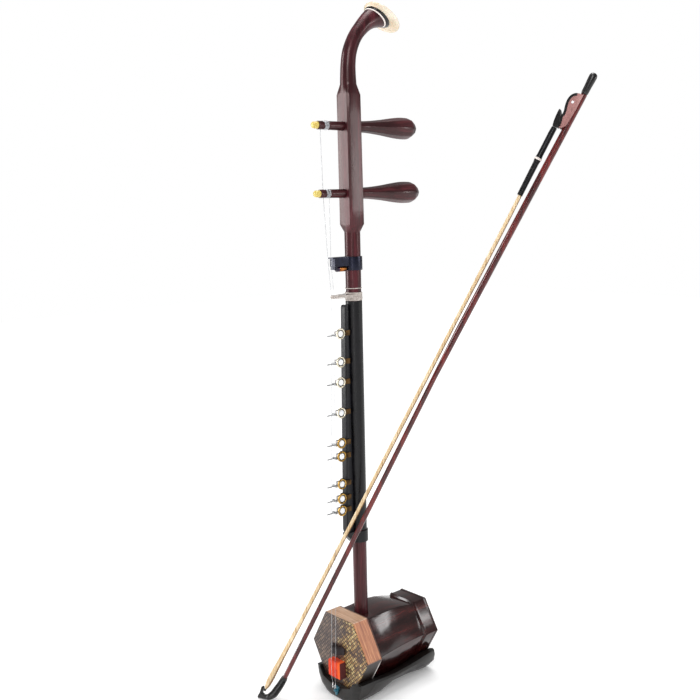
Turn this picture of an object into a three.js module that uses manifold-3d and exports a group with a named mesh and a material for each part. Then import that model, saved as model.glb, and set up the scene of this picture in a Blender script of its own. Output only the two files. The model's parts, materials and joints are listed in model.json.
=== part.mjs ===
// Erhu: two-stringed bowed spike fiddle with a hexagonal sound box, standing on
// its base, with the bow threaded between the strings.
//
// Millimetres, +Z up. Origin: middle of the base's foot, on the surface it
// stands on. The skin faces -Y, the rear sound window faces +Y. Inside the file
// every piece is laid out about the neck axis (x = 0, y = 0), and the outer
// group moves the whole instrument so that the base's middle is at the origin.

import * as THREE from 'three';
import * as BufferGeometryUtils from 'three/addons/utils/BufferGeometryUtils.js';
import Module from 'manifold-3d';

const wasm = await Module();
wasm.setup();

// ---------------------------------------------------------------- dimensions
const GAP = 0.3;              // clearance between touching pieces
const NECK_TO_FOOT = 22;      // neck axis is this far in front of the foot's middle

// sound box
const ZB = 60.3;              // height of the sound box axis
const S_FRONT = 50.8;         // hexagon radius over the skin: 88 mm across flats
const S_REAR = 43.3;          // hexagon radius of the rear flange
const Y_SKIN = -39.7;         // outer face of the skin
const Y_REAR = 90.0;          // rear face of the sound box
const RIM_DEPTH = 23.2;       // how far the skin wraps back over the rim
const SKIN_T = 0.8;
const WALL = 6.9;             // wall, measured along the hexagon radius

// neck
const NECK_R0 = 8.5;          // radius where it enters the sound box
const NECK_R1 = 9.4;          // radius under the square section
const LEAN = 2.4;             // how far the neck's foot stands forward of its square section
const Z_SQ0 = 572, Z_SQ1 = 737;   // square section with its shoulders
const SQ_H = 11.1, SQ_C = 2.2;    // half side and chamfer of the square section

// pegs
const Z_PEG_U = 693.7, Z_PEG_L = 617.0;
const PEG_Y0 = -55.6;
const PEG_END_U = 103.5, PEG_END_L = 106.5;   // handles' far ends
const PEG_R = 5.1;

// clamp screw
const Z_SCREW = 529.6;

// strings
const Z_QJ = 497;             // height of the qianjin loop
const Y_QJ = -33;             // strings' y at the qianjin
const STR_SLOPE = 0.0366;     // forward lean of the strings towards the bridge
const Z_BR = 64;              // bridge height on the skin
const R_INNER = 0.4, R_OUTER = 0.3;

// position stops: heights along the rail
const STOPS = [454.2, 420.5, 396.2, 359.6, 322.9, 306.7, 272.7, 254.6, 239.8];
const DISC_R = 6.5;

// bow: origin at the hair's low end, axes along the hair (D), from the hair
// towards the stick (E), and square to both (N)
const BOW_T = new THREE.Vector3(-60.2, -106.5, 17.5);
const BOW_X = new THREE.Vector3(0, -44.6, 181.6);    // where the hair passes the strings
const BOW_S0 = new THREE.Vector3(0, -53.6, 145.0);   // where the stick passes in front of them

// ---------------------------------------------------------------- materials
const mat = (name, hex, rough, metal = 0) => {
  const m = new THREE.MeshStandardMaterial({ color: hex, roughness: rough, metalness: metal });
  m.name = name;
  return m;
};
const M = {
  rosewood: mat('rosewood', 0x35191b, 0.3),
  pegwood: mat('pegwood', 0x3a2020, 0.35),
  boxwood: mat('box_wood', 0x2c1716, 0.25),
  bone: mat('bone', 0xe6d8b8, 0.4),
  white: mat('inlay_white', 0xeee4dc, 0.4),
  ebony: mat('ebony', 0x120c0c, 0.3),
  tip: mat('bone_yellow', 0xd9b44a, 0.4),
  steel: mat('string_steel', 0xd8d8d8, 0.3, 1),
  cord: mat('cord', 0xb5aaa4, 0.8),
  black: mat('black_plastic', 0x101014, 0.35),
  navy: mat('clamp_plastic', 0x15161f, 0.3),
  brass: mat('brass', 0xb86a3a, 0.35, 1),
  purple: mat('knob_plastic', 0x2a1030, 0.35),
  rail: mat('rail_black', 0x0e0e16, 0.3),
  stop: mat('stop_bronze', 0x8a6c48, 0.35, 1),
  disc: mat('disc_white', 0xf2f0ea, 0.2),
  skin: mat('python_skin', 0x7a6048, 0.45),
  trim: mat('trim_white', 0xd8d0cc, 0.5),
  bridge: mat('bridge_wood', 0x2e1a1e, 0.5),
  felt: mat('red_felt', 0xe03a12, 0.9),
  base: mat('base_black', 0x17130f, 0.4),
  screw: mat('screw_steel', 0x9a9a9a, 0.35, 1),
  blue: mat('hook_blue', 0x2a6f86, 0.4),
  bow: mat('bow_wood', 0x4a1418, 0.3),
  hair: mat('bow_hair', 0xdcc89a, 0.6),
  frog: mat('frog_wood', 0x7a4a44, 0.35),
  horn: mat('horn_black', 0x121014, 0.35),
};

// ---------------------------------------------------------------- helpers
const root = new THREE.Group();
const inst = new THREE.Group();
inst.position.set(0, -NECK_TO_FOOT, 0);
root.add(inst);

function add(name, geo, material, parent = inst) {
  const m = new THREE.Mesh(geo, material);
  m.name = name;
  parent.add(m);
  return m;
}

function toSolid(geo) {
  let g = geo.index ? geo.clone() : geo.clone();
  for (const k of Object.keys(g.attributes)) if (k !== 'position') g.deleteAttribute(k);
  g.clearGroups();
  g = BufferGeometryUtils.mergeVertices(g, 1e-4);
  return new wasm.Manifold(new wasm.Mesh({
    numProp: 3,
    vertProperties: new Float32Array(g.attributes.position.array),
    triVerts: new Uint32Array(g.index.array),
  }));
}
function toGeo(solid) {
  const m = solid.getMesh();
  const g = new THREE.BufferGeometry();
  g.setAttribute('position', new THREE.BufferAttribute(new Float32Array(m.vertProperties), 3));
  g.setIndex(new THREE.BufferAttribute(new Uint32Array(m.triVerts), 1));
  g.computeVertexNormals();
  return g;
}
const cut = (a, ...bs) => toGeo(bs.reduce((s, b) => s.subtract(toSolid(b)), toSolid(a)));
const join = (a, ...bs) => toGeo(bs.reduce((s, b) => s.add(toSolid(b)), toSolid(a)));

// a closed body through a row of rings, each ring an array of Vector3
function loft(rings) {
  const n = rings[0].length;
  const pos = [];
  for (const r of rings) for (const p of r) pos.push(p.x, p.y, p.z);
  const idx = [];
  for (let i = 0; i < rings.length - 1; i++) {
    for (let j = 0; j < n; j++) {
      const a = i * n + j, b = i * n + (j + 1) % n;
      const c = a + n, d = b + n;
      idx.push(a, b, d, a, d, c);
    }
  }
  const cap = (ring, base, flip) => {
    // project the ring to its own plane and triangulate it
    const nrm = new THREE.Vector3();
    for (let j = 0; j < n; j++) {
      const p = ring[j], q = ring[(j + 1) % n];
      nrm.x += (p.y - q.y) * (p.z + q.z);
      nrm.y += (p.z - q.z) * (p.x + q.x);
      nrm.z += (p.x - q.x) * (p.y + q.y);
    }
    nrm.normalize();
    const u = Math.abs(nrm.z) < 0.9 ? new THREE.Vector3(0, 0, 1) : new THREE.Vector3(1, 0, 0);
    u.cross(nrm).normalize();
    const v = nrm.clone().cross(u);
    const pts = ring.map(p => new THREE.Vector2(p.dot(u), p.dot(v)));
    for (const t of THREE.ShapeUtils.triangulateShape(pts, [])) {
      if (flip) idx.push(base + t[2], base + t[1], base + t[0]);
      else idx.push(base + t[0], base + t[1], base + t[2]);
    }
  };
  cap(rings[0], 0, true);
  cap(rings[rings.length - 1], (rings.length - 1) * n, false);
  const g = new THREE.BufferGeometry();
  g.setAttribute('position', new THREE.Float32BufferAttribute(pos, 3));
  g.setIndex(idx);
  // faces outward
  let vol = 0;
  const P = i => new THREE.Vector3(pos[3 * i], pos[3 * i + 1], pos[3 * i + 2]);
  for (let t = 0; t < idx.length; t += 3) vol += P(idx[t]).dot(P(idx[t + 1]).cross(P(idx[t + 2])));
  if (vol < 0) {
    for (let t = 0; t < idx.length; t += 3) { const k = idx[t]; idx[t] = idx[t + 1]; idx[t + 1] = k; }
    g.setIndex(idx);
  }
  g.computeVertexNormals();
  return g;
}

// lathe about +Z from a closed or axis-to-axis profile [[r, z], ...]
function lathe(profile, seg) {
  const g = new THREE.LatheGeometry(profile.map(p => new THREE.Vector2(p[0], p[1])), seg);
  g.rotateX(Math.PI / 2);        // Lathe turns about Y; bring Y to Z
  return orient(g);
}
function orient(g) {
  let h = g.clone();
  for (const k of Object.keys(h.attributes)) if (k !== 'position') h.deleteAttribute(k);
  h = BufferGeometryUtils.mergeVertices(h, 1e-4);
  const a = h.attributes.position.array, idx = Array.from(h.index.array).slice();
  const out = [];
  for (let t = 0; t < idx.length; t += 3) {
    const [i, j, k] = [idx[t], idx[t + 1], idx[t + 2]];
    if (i !== j && j !== k && i !== k) out.push(i, j, k);
  }
  let vol = 0;
  const P = i => new THREE.Vector3(a[3 * i], a[3 * i + 1], a[3 * i + 2]);
  for (let t = 0; t < out.length; t += 3) vol += P(out[t]).dot(P(out[t + 1]).cross(P(out[t + 2])));
  if (vol < 0) for (let t = 0; t < out.length; t += 3) { const k = out[t]; out[t] = out[t + 1]; out[t + 1] = k; }
  h.setIndex(out);
  h.computeVertexNormals();
  return h;
}
// point a +Z body along -Y or another axis
const alongY = g => g.rotateX(-Math.PI / 2);     // +Z becomes +Y
const alongX = g => g.rotateY(Math.PI / 2);      // +Z becomes +X
// polygon in XY extruded along Z from z0 to z1, with optional holes
function slab(pts, z0, z1, holes = []) {
  const sh = new THREE.Shape(pts.map(p => new THREE.Vector2(p[0], p[1])));
  for (const h of holes) sh.holes.push(new THREE.Path(h.map(p => new THREE.Vector2(p[0], p[1]))));
  const g = new THREE.ExtrudeGeometry(sh, { depth: z1 - z0, bevelEnabled: false, steps: 1, curveSegments: 1 });
  g.translate(0, 0, z0);
  return orient(g);
}
const circle = (r, n, cx = 0, cy = 0, a0 = 0) => Array.from({ length: n }, (_, i) => {
  const t = a0 + i * 2 * Math.PI / n;
  return [cx + r * Math.cos(t), cy + r * Math.sin(t)];
});
// a round wire through a chain of points
function wire(points, r, sides = 8) {
  const P = points.map(p => new THREE.Vector3(...p));
  const rings = [];
  let u = null;
  for (let i = 0; i < P.length; i++) {
    const t = new THREE.Vector3();
    if (i > 0) t.add(P[i].clone().sub(P[i - 1]).normalize());
    if (i < P.length - 1) t.add(P[i + 1].clone().sub(P[i]).normalize());
    t.normalize();
    if (!u) u = Math.abs(t.x) < 0.9 ? new THREE.Vector3(1, 0, 0) : new THREE.Vector3(0, 1, 0);
    u = u.clone().sub(t.clone().multiplyScalar(u.dot(t))).normalize();
    const v = t.clone().cross(u);
    rings.push(Array.from({ length: sides }, (_, k) => {
      const a = 2 * Math.PI * k / sides;
      return P[i].clone().addScaledVector(u, r * Math.cos(a)).addScaledVector(v, r * Math.sin(a));
    }));
  }
  return loft(rings);
}
const lerp = (table, x) => {
  if (x <= table[0][0]) return table[0][1];
  for (let i = 1; i < table.length; i++) {
    if (x <= table[i][0]) {
      const [a, b] = [table[i - 1], table[i]];
      return a[1] + (b[1] - a[1]) * (x - a[0]) / (b[0] - a[0]);
    }
  }
  return table[table.length - 1][1];
};

// ---------------------------------------------------------------- neck
const neckR = z => NECK_R0 + (NECK_R1 - NECK_R0) * (z - 101) / (Z_SQ0 - 101);
// the neck's centre line below the square section
const neckY = z => -LEAN * Math.min(1, Math.max(0, (Z_SQ0 - z) / (Z_SQ0 - 101)));
const ANG = [];
for (let q = 0; q < 4; q++) for (const a of [0, 19.4, 38.75, 51.25, 70.6]) ANG.push((a + 90 * q) * Math.PI / 180);
const ringR = (r, z) => ANG.map(a => new THREE.Vector3(r * Math.cos(a), neckY(z) + r * Math.sin(a), z));
const sqR = (a, h, c) => {
  const x = Math.abs(Math.cos(a)), y = Math.abs(Math.sin(a));
  return Math.min(h / Math.max(x, 1e-9), h / Math.max(y, 1e-9), (2 * h - c) / (x + y));
};
const ringSq = (h, c, z) => ANG.map(a => {
  const r = sqR(a, h, c);
  return new THREE.Vector3(r * Math.cos(a), r * Math.sin(a), z);
});
// centre line of the curved head: y, z, radius across (x), radius along the curve's plane
const HEAD = [
  [0.0, 741, 9.6, 9.6], [0.0, 752, 9.1, 9.1], [0.6, 764, 8.7, 8.7], [3.0, 777, 8.5, 8.5],
  [8.6, 789.6, 8.3, 8.3], [14.8, 798.6, 8.3, 8.3], [21.2, 805.2, 8.6, 8.7],
  [27.4, 810.7, 9.1, 9.5], [33.8, 814.9, 10.0, 11.0], [38.9, 817.0, 10.8, 12.9], [43.2, 818.5, 11.6, 14.7],
];
const headPts = HEAD.map(h => new THREE.Vector3(0, h[0], h[1]));
const headTan = i => {
  const a = headPts[Math.max(0, i - 1)], b = headPts[Math.min(HEAD.length - 1, i + 1)];
  return b.clone().sub(a).normalize();
};
const END_T = new THREE.Vector3(0, 0.607, 0.794).normalize();   // the way the head's end faces
const END_V = new THREE.Vector3(0, 0.794, -0.607).normalize();   // along that face, down and back
{
  const rings = [
    ringR(6.4, 16.3), ringR(6.4, 94), ringR(neckR(101) - 0.05, 94.2), ringR(neckR(104), 104),
    ringR(neckR(Z_SQ0), Z_SQ0),
    ringSq(SQ_H, SQ_C, Z_SQ0 + 9), ringSq(SQ_H - 0.3, SQ_C, Z_SQ1 - 8),
  ];
  HEAD.forEach((h, i) => {
    let t = headTan(i);
    if (i === 0) t = new THREE.Vector3(0, 0, 1);
    // the last sections turn towards the plane of the end
    const k = { [HEAD.length - 4]: 0.08, [HEAD.length - 3]: 0.45, [HEAD.length - 2]: 0.8, [HEAD.length - 1]: 1 }[i] || 0;
    t.lerp(END_T, k).normalize();
    rings.push(ANG.map(q => headPts[i].clone()
      .addScaledVector(new THREE.Vector3(1, 0, 0), h[2] * Math.cos(q))
      .addScaledVector(new THREE.Vector3(0, t.z, -t.y), h[3] * Math.sin(q))));
  });
  const shaft = loft(rings);
  const holes = [Z_PEG_U, Z_PEG_L].map(z => {
    const g = new THREE.CylinderGeometry(PEG_R + GAP, PEG_R + GAP, 40, 20);
    g.translate(0, 0, z);
    return g;
  });
  const pilot = new THREE.CylinderGeometry(2.4, 2.4, 24, 12);
  pilot.rotateX(Math.PI / 2);
  pilot.translate(0, -LEAN, 16.3 + 10);
  add('neck', cut(shaft, ...holes, pilot), M.rosewood);
}
// rings and cap on the head's end
const endC = headPts[HEAD.length - 1];
function endPiece(name, list, material) {
  // list of [distance along END_T, shift along END_V, a, b]
  const rings = list.map(([d, e, a, b]) => {
    const c = endC.clone().addScaledVector(END_T, d).addScaledVector(END_V, e);
    return ANG.map(q => c.clone()
      .addScaledVector(new THREE.Vector3(1, 0, 0), a * Math.cos(q))
      .addScaledVector(END_V, -b * Math.sin(q)));
  });
  add(name, loft(rings), material);
}
endPiece('head_inlay_ring', [[0.3, 0.1, 11.8, 15.0], [1.6, 0.7, 12.4, 15.6]], M.white);
endPiece('head_ebony_ring', [[1.9, 0.9, 12.6, 15.8], [3.2, 1.9, 13.6, 16.7], [4.6, 2.9, 14.4, 17.6]], M.ebony);
endPiece('head_bone_cap', [[4.9, 3.4, 14.9, 18.2], [6.2, 5.4, 17.6, 21.0], [7.8, 7.6, 20.3, 23.8], [9.2, 8.3, 21.3, 24.8], [10.6, 8.3, 20.6, 24.1], [11.6, 8.2, 17.0, 20.0]], M.bone);

// ---------------------------------------------------------------- pegs
function peg(name, z, yEnd) {
  // shaft through the neck, then the faceted handle towards +Y
  const g8 = lathe([
    [0, SQ_H + 0.8], [6.1, SQ_H + 0.8], [6.6, 15], [7.4, 29], [9.2, 47], [11.4, 63], [12.8, 75], [13.3, 84],
    [13.0, yEnd - 10.5], [12.3, yEnd - 8.5], [6.6, yEnd], [0, yEnd],
  ], 8);
  g8.rotateZ(Math.PI / 8);
  alongY(g8);
  const shaft = lathe([[0, PEG_Y0 + 7.4], [PEG_R - 0.25, PEG_Y0 + 7.4], [PEG_R - 0.25, -42], [4.5, -41.5], [4.5, -33], [PEG_R - 0.1, -32.4], [PEG_R, SQ_H + 3], [0, SQ_H + 3]], 16);
  alongY(shaft);
  const g = join(g8, shaft);
  g.translate(0, 0, z);
  add(name, g, M.pegwood);
  const tip = lathe([[0, PEG_Y0 - 0.6], [2.2, PEG_Y0 - 0.3], [3.4, PEG_Y0 + 0.6], [3.9, PEG_Y0 + 2.4], [4.1, PEG_Y0 + 5.6], [4.1, PEG_Y0 + 7.1], [0, PEG_Y0 + 7.1]], 16);
  alongY(tip);
  tip.translate(0, 0, z);
  add(name + '_bone_tip', tip, M.tip);
}
peg('upper_peg', Z_PEG_U, PEG_END_U);
peg('lower_peg', Z_PEG_L, PEG_END_L);
function stringCoil(name, z, r) {
  // turns of string wound on the peg's waist: a ribbed sleeve
  const prof = [[4.8, -41.2]];
  const n = 6, p = 1.25;
  for (let i = 0; i < n; i++) {
    const y = -41.2 + i * p;
    prof.push([4.8 + 2 * r * 0.5, y + 0.12 * p], [4.8 + 2 * r, y + 0.5 * p], [4.8 + 2 * r * 0.5, y + 0.88 * p]);
  }
  prof.push([4.8, -41.2 + n * p]);
  prof.push([4.8, -41.2]);
  const g = alongY(lathe(prof, 16));
  g.translate(0, 0, z);
  add(name, g, M.steel);
}
stringCoil('inner_string_coil', Z_PEG_U, R_INNER);
stringCoil('outer_string_coil', Z_PEG_L, R_OUTER);

// ---------------------------------------------------------------- strings
const strY = z => Y_QJ - STR_SLOPE * (Z_QJ - z);
function playString(name, side, zPeg, r) {
  const xCoil = side * (4.8 + 2 * r + r + GAP + 0.1);
  add(name, wire([
    [xCoil, -39.0, zPeg + 1.5],
    // the string from the upper peg runs past the side of the lower one
    ...(side < 0 ? [[-6.45, -37.6, Z_PEG_L + 5], [-6.45, -37.5, Z_PEG_L - 3]] : []),
    // both strings lie over the front of the upper clamp's arm
    [side * 2.75, -36.5, 541.6],
    [side * 2.65, -35.9, 532],
    [side * 2.2, Y_QJ, Z_QJ + 0.5],
    [side * 3.75, strY(Z_BR), Z_BR + 3.0],
    [side * 3.75, strY(Z_BR) - 0.05, Z_BR],
    [side * 3.6, -50.6, 51.0],
    [side * 3.0, -50.6, 29.0],
    [side * 2.2, -49.6, 20.2],
  ], r), M.steel);
}
playString('inner_string', -1, Z_PEG_U, R_INNER);
playString('outer_string', 1, Z_PEG_L, R_OUTER);

// ---------------------------------------------------------------- qianjin
{
  const yN = neckY(Z_QJ);
  const tube = (z0, z1, rin, rout, n = 24) => slab(circle(rout, n, 0, yN), z0, z1, [circle(rin, n, 0, yN).reverse()]);
  const rn = neckR(Z_QJ) + GAP;
  // a single turn above, run down behind the neck into the main winding
  const run = new THREE.BoxGeometry(2.0, 1.0, 6.4);
  run.translate(0, yN + rn + 0.58, 503.4);
  add('qianjin_winding', join(tube(505.2, 507.0, rn + 0.05, rn + 0.95), tube(499.9, 502.0, rn + 0.05, rn + 1.1), run), M.cord);
  const lower = tube(491.3, 495.2, rn + 0.05, rn + 1.1);
  // loop round the neck and out round the strings
  const out = [], inn = [];
  const R = rn + 1.1, r = rn + 0.05, rs = 4.0, ri = 3.1, yc = Y_QJ + 0.2;
  for (let i = -8; i <= 8; i++) {
    const t = Math.PI / 2 + i * (Math.PI * 0.56) / 8;
    out.push([R * Math.cos(t), yN + R * Math.sin(t)]);
    inn.push([r * Math.cos(t), yN + r * Math.sin(t)]);
  }
  for (let i = 0; i <= 8; i++) {
    const t = Math.PI + i * Math.PI / 8;
    out.push([rs * Math.cos(t), yc + rs * 0.62 * Math.sin(t)]);
    inn.push([ri * Math.cos(t), yc + ri * 0.5 * Math.sin(t)]);
  }
  add('qianjin_loop', join(slab(out, 495.1, 499.5, [inn.slice().reverse()]), lower), M.cord);
}

// ---------------------------------------------------------------- upper clamp and its arm
{
  const rn = neckR(543) + GAP, yN = neckY(536);
  const ring = slab(circle(rn + 1.5, 28, 0, yN), 527.4, 543.4, [circle(rn, 28, 0, yN).reverse()]);
  const arm = new THREE.BoxGeometry(9.4, 24, 10.8);
  arm.translate(0, -32 + 12, 538.3);
  const bore = slab(circle(rn, 28, 0, yN), 500, 560);
  const lip = new THREE.BoxGeometry(9.4, 3.4, 1.4);
  lip.translate(0, -32.8, 543.0);
  const toe = new THREE.BoxGeometry(7.4, 4.4, 4.4);
  toe.translate(0, -29.8, 531.4);
  add('upper_clamp', cut(join(ring, arm, lip, toe), bore), M.navy);
  // brass screw barrel under the arm, with its thumb knob in front
  const barrel = alongY(lathe([[0, -22.2], [2.9, -22.2], [3.1, -21.8], [3.1, -12.7], [0, -12.7]], 16));
  barrel.translate(0, 0, Z_SCREW);
  const knob = alongY(lathe([[0, -27.2], [2.5, -27.2], [3.1, -26.6], [3.1, -23.0], [2.6, -22.0], [0, -22.0]], 12));
  knob.translate(0, 0, Z_SCREW);
  add('clamp_thumb_screw', join(barrel, knob), M.brass);
}

// ---------------------------------------------------------------- position guide
{
  const z0 = 209.0, z1 = 490.9;
  const ringAt = (z, dr) => circle(neckR(z) + dr, 24, 0, neckY(z)).map(p => new THREE.Vector3(p[0], p[1], z));
  const outer = loft([ringAt(z0, 0.85), ringAt(z1, 0.85)]);
  const inner = loft([ringAt(z0 - 4, 0.3), ringAt(z1 + 4, 0.3)]);
  add('guide_sleeve', cut(outer, inner), M.black);
  const rn = neckR(209) + GAP, yN = neckY(201);
  // collar with a tapered seat for the rail's foot
  const collar = slab(circle(rn + 1.9, 28, 0, yN), 194.2, 208.4);
  const seat = loft([[-4.4, 1], [4.4, 1]].map(([x]) => [[-10.5, 208.4], [-24.6, 208.4], [-24.6, 205.4], [-15.5, 195.4], [-10.5, 194.4]].map(q => new THREE.Vector3(x, q[0], q[1]))));
  const bore = slab(circle(rn, 28, 0, yN), 180, 230);
  add('lower_clamp', cut(join(collar, seat), bore), M.black);
}
const railY = z => -18.2 - (487 - z) * (7.2 / 290);     // front face of the rail
{
  // T-section rail: front flange and a web back to the sleeve
  const sec = (z, yf, yr) => [
    [-4.5, yf + 0.8], [-3.8, yf], [3.8, yf], [4.5, yf + 0.8], [4.5, yf + 3.6], [2.2, yf + 3.6],
    [2.2, yr], [-2.2, yr], [-2.2, yf + 3.6], [-4.5, yf + 3.6],
  ].map(p => new THREE.Vector3(p[0], p[1], z));
  add('position_rail', loft([
    sec(209.4, railY(209.4) + 1.2, neckY(209) - (neckR(209.4) + 1.35)), sec(213, railY(213), neckY(213) - (neckR(213) + 1.35)),
    sec(484.5, railY(484.5), neckY(484) - (neckR(484.5) + 1.35)), sec(487, railY(487) + 1.6, neckY(487) - (neckR(487) + 1.35)),
  ]), M.rail);
}
STOPS.forEach((z, i) => {
  const n = i + 1;
  const yf = railY(z);
  // clip round the rail's flange, 6 mm tall, following the rail's lean
  const clip = [
    [-6.0, yf - 1.6], [6.0, yf - 1.6], [6.0, yf + 5.6], [2.9, yf + 5.6], [2.9, yf + 4.3],
    [4.95, yf + 4.3], [4.95, yf - 0.5], [-4.95, yf - 0.5], [-4.95, yf + 4.3], [-2.9, yf + 4.3],
    [-2.9, yf + 5.6], [-6.0, yf + 5.6],
  ];
  const body = slab(clip, z - 3, z + 3);
  const boss = new THREE.BoxGeometry(6.6, 9.8, 5.0);
  boss.translate(0.9, yf - 1.4 - 4.9, z);
  const yS = strY(z);
  const finger = new THREE.CylinderGeometry(0.75, 0.75, (yf - 8) - (yS - 9.5), 8);
  finger.translate(0, ((yf - 8) + (yS - 9.5)) / 2, z - 1.9);
  const pad = new THREE.BoxGeometry(7.8, 2.0, 2.4);
  pad.translate(0.2, yS + 2.1, z - 1.9);
  add('position_stop_' + n, join(body, boss, finger, pad), M.stop);
  const disc = lathe([[0, 0], [DISC_R - 0.5, 0], [DISC_R, 0.5], [DISC_R, 1.6], [DISC_R - 0.9, 2.1], [DISC_R - 1.7, 1.6], [4.0, 2.1], [2.2, 2.6], [0, 2.8]], 20);
  alongX(disc);
  disc.translate(4.2 + GAP, yf - 8.6, z);
  add('stop_disc_' + n, disc, M.disc);
});

// ---------------------------------------------------------------- sound box
const PROFILE = [   // y, outer hexagon radius of the staves
  [-38.6, 49.7], [-14.6, 49.7], [-13.6, 47.7], [0, 47.7], [14, 48.4], [28, 48.3], [42, 46.8], [54, 44.2],
  [63, 41.6], [67.4, 40.5], [69, 43.3], [71.2, 43.3], [72.0, 42.6], [86.6, 42.6], [87.4, 43.3], [Y_REAR, 43.3],
];
const PINCH = [[-14.6, 1], [-8, 0.975], [4, 0.93], [18, 0.875], [32, 0.85], [44, 0.86], [56, 0.91], [64, 0.96], [69, 1]];
const innerS = [[-38.6, 43.4], [-13, 42.0], [28, 39.8], [54, 36.2], [67, 34.4], [72, 35.6], [Y_REAR, 36.4]];
function vert(k, y, s) {
  const a = k * Math.PI / 3;
  const f = k % 3 === 0 ? lerp(PINCH, y) : 1;
  return new THREE.Vector3(s * f * Math.cos(a), y, ZB + s * Math.sin(a));
}
function stave(k) {
  const rings = PROFILE.map(([y, so]) => {
    const si = lerp(innerS, y);
    const o0 = vert(k, y, so), o1 = vert(k + 1, y, so), i0 = vert(k, y, si), i1 = vert(k + 1, y, si);
    const e = o1.clone().sub(o0).normalize();
    const m = 0.18;
    return [o0.addScaledVector(e, m), o1.addScaledVector(e, -m), i1.addScaledVector(e, -m), i0.addScaledVector(e, m)];
  });
  return loft(rings);
}
{
  const names = ['upper_right_stave', 'top_stave', 'upper_left_stave', 'lower_left_stave', 'bottom_stave', 'lower_right_stave'];
  for (let k = 0; k < 6; k++) {
    let g = stave(k);
    if (k === 1) {
      const h = new THREE.CylinderGeometry(neckR(101) + GAP, neckR(101) + GAP, 40, 24);
      h.rotateX(Math.PI / 2); h.translate(0, -LEAN, 98);
      g = cut(g, h);
    }
    if (k === 4) {
      const h = new THREE.CylinderGeometry(6.4 + GAP, 6.4 + GAP, 40, 20);
      h.rotateX(Math.PI / 2); h.translate(0, -LEAN, 22);
      g = cut(g, h);
    }
    add(names[k], g, M.boxwood);
  }
}
const hexXZ = (s, y) => Array.from({ length: 6 }, (_, k) => {
  const a = k * Math.PI / 3;
  return new THREE.Vector3(s * Math.cos(a), y, ZB + s * Math.sin(a));
});
{
  // skin: stretched over the front and folded back round the rim
  const outer = loft([hexXZ(S_FRONT - 0.7, Y_SKIN), hexXZ(S_FRONT, Y_SKIN + 0.7), hexXZ(S_FRONT, Y_SKIN + RIM_DEPTH)]);
  const inner = loft([hexXZ(S_FRONT - SKIN_T, Y_SKIN + SKIN_T), hexXZ(S_FRONT - SKIN_T, Y_SKIN + RIM_DEPTH + 5)]);
  add('python_skin', cut(outer, inner), M.skin);
  const to = loft([hexXZ(S_FRONT + 0.1, Y_SKIN + RIM_DEPTH + GAP), hexXZ(S_FRONT + 0.1, Y_SKIN + RIM_DEPTH + GAP + 1.5)]);
  const ti = loft([hexXZ(S_FRONT - SKIN_T, Y_SKIN + RIM_DEPTH - 2), hexXZ(S_FRONT - SKIN_T, Y_SKIN + RIM_DEPTH + 5)]);
  add('skin_trim_band', cut(to, ti), M.trim);
}
{
  // carved sound window set into the rear opening
  const s = 35.2, y0 = 74, y1 = 78.5;
  const hex = Array.from({ length: 6 }, (_, k) => [s * Math.cos(k * Math.PI / 3), s * Math.sin(k * Math.PI / 3)]);
  const holes = [];
  // six petals round a centre opening, then small corner openings
  for (let k = 0; k < 6; k++) {
    const a = (k + 0.5) * Math.PI / 3;
    const petal = [];
    for (let i = 0; i < 12; i++) {
      const t = i * Math.PI / 6;
      const px = 16.6 + 7.0 * Math.cos(t), py = 4.6 * Math.sin(t) * (1 + 0.25 * Math.cos(t));
      petal.push([px * Math.cos(a) - py * Math.sin(a), px * Math.sin(a) + py * Math.cos(a)]);
    }
    holes.push(petal);
    const b = k * Math.PI / 3;
    holes.push(circle(3.0, 8, 25.8 * Math.cos(b), 25.8 * Math.sin(b)));
  }
  holes.push(circle(5.2, 12));
  const g = slab(hex, 0, y1 - y0, holes.map(h => h.slice().reverse()));
  g.rotateX(Math.PI / 2);
  g.translate(0, y1, ZB);
  add('rear_sound_window', g, M.boxwood);
}

// ---------------------------------------------------------------- bridge, pad
{
  // arched bridge standing on the skin, seen along Y as a low arch, top towards -Y
  const yB = Y_SKIN - GAP, yT = strY(Z_BR) + R_INNER + GAP;
  const prof = [   // x, y
    [-11, yB], [-11, yB - 1.6], [-7.2, yB - 4.0], [-5.2, yT], [5.2, yT], [7.2, yB - 4.0], [11, yB - 1.6], [11, yB],
    [5.5, yB], [4.0, yB - 2.4], [-4.0, yB - 2.4], [-5.5, yB],
  ];
  add('bridge', slab(prof, Z_BR - 4.4, Z_BR + 4.4), M.bridge);
  const pad = new THREE.BoxGeometry(23, 9.0, 21.5);
  pad.translate(0, Y_SKIN - GAP - 4.5 - 0.0, 40.2);
  add('damper_pad', pad, M.felt);
}

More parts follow.
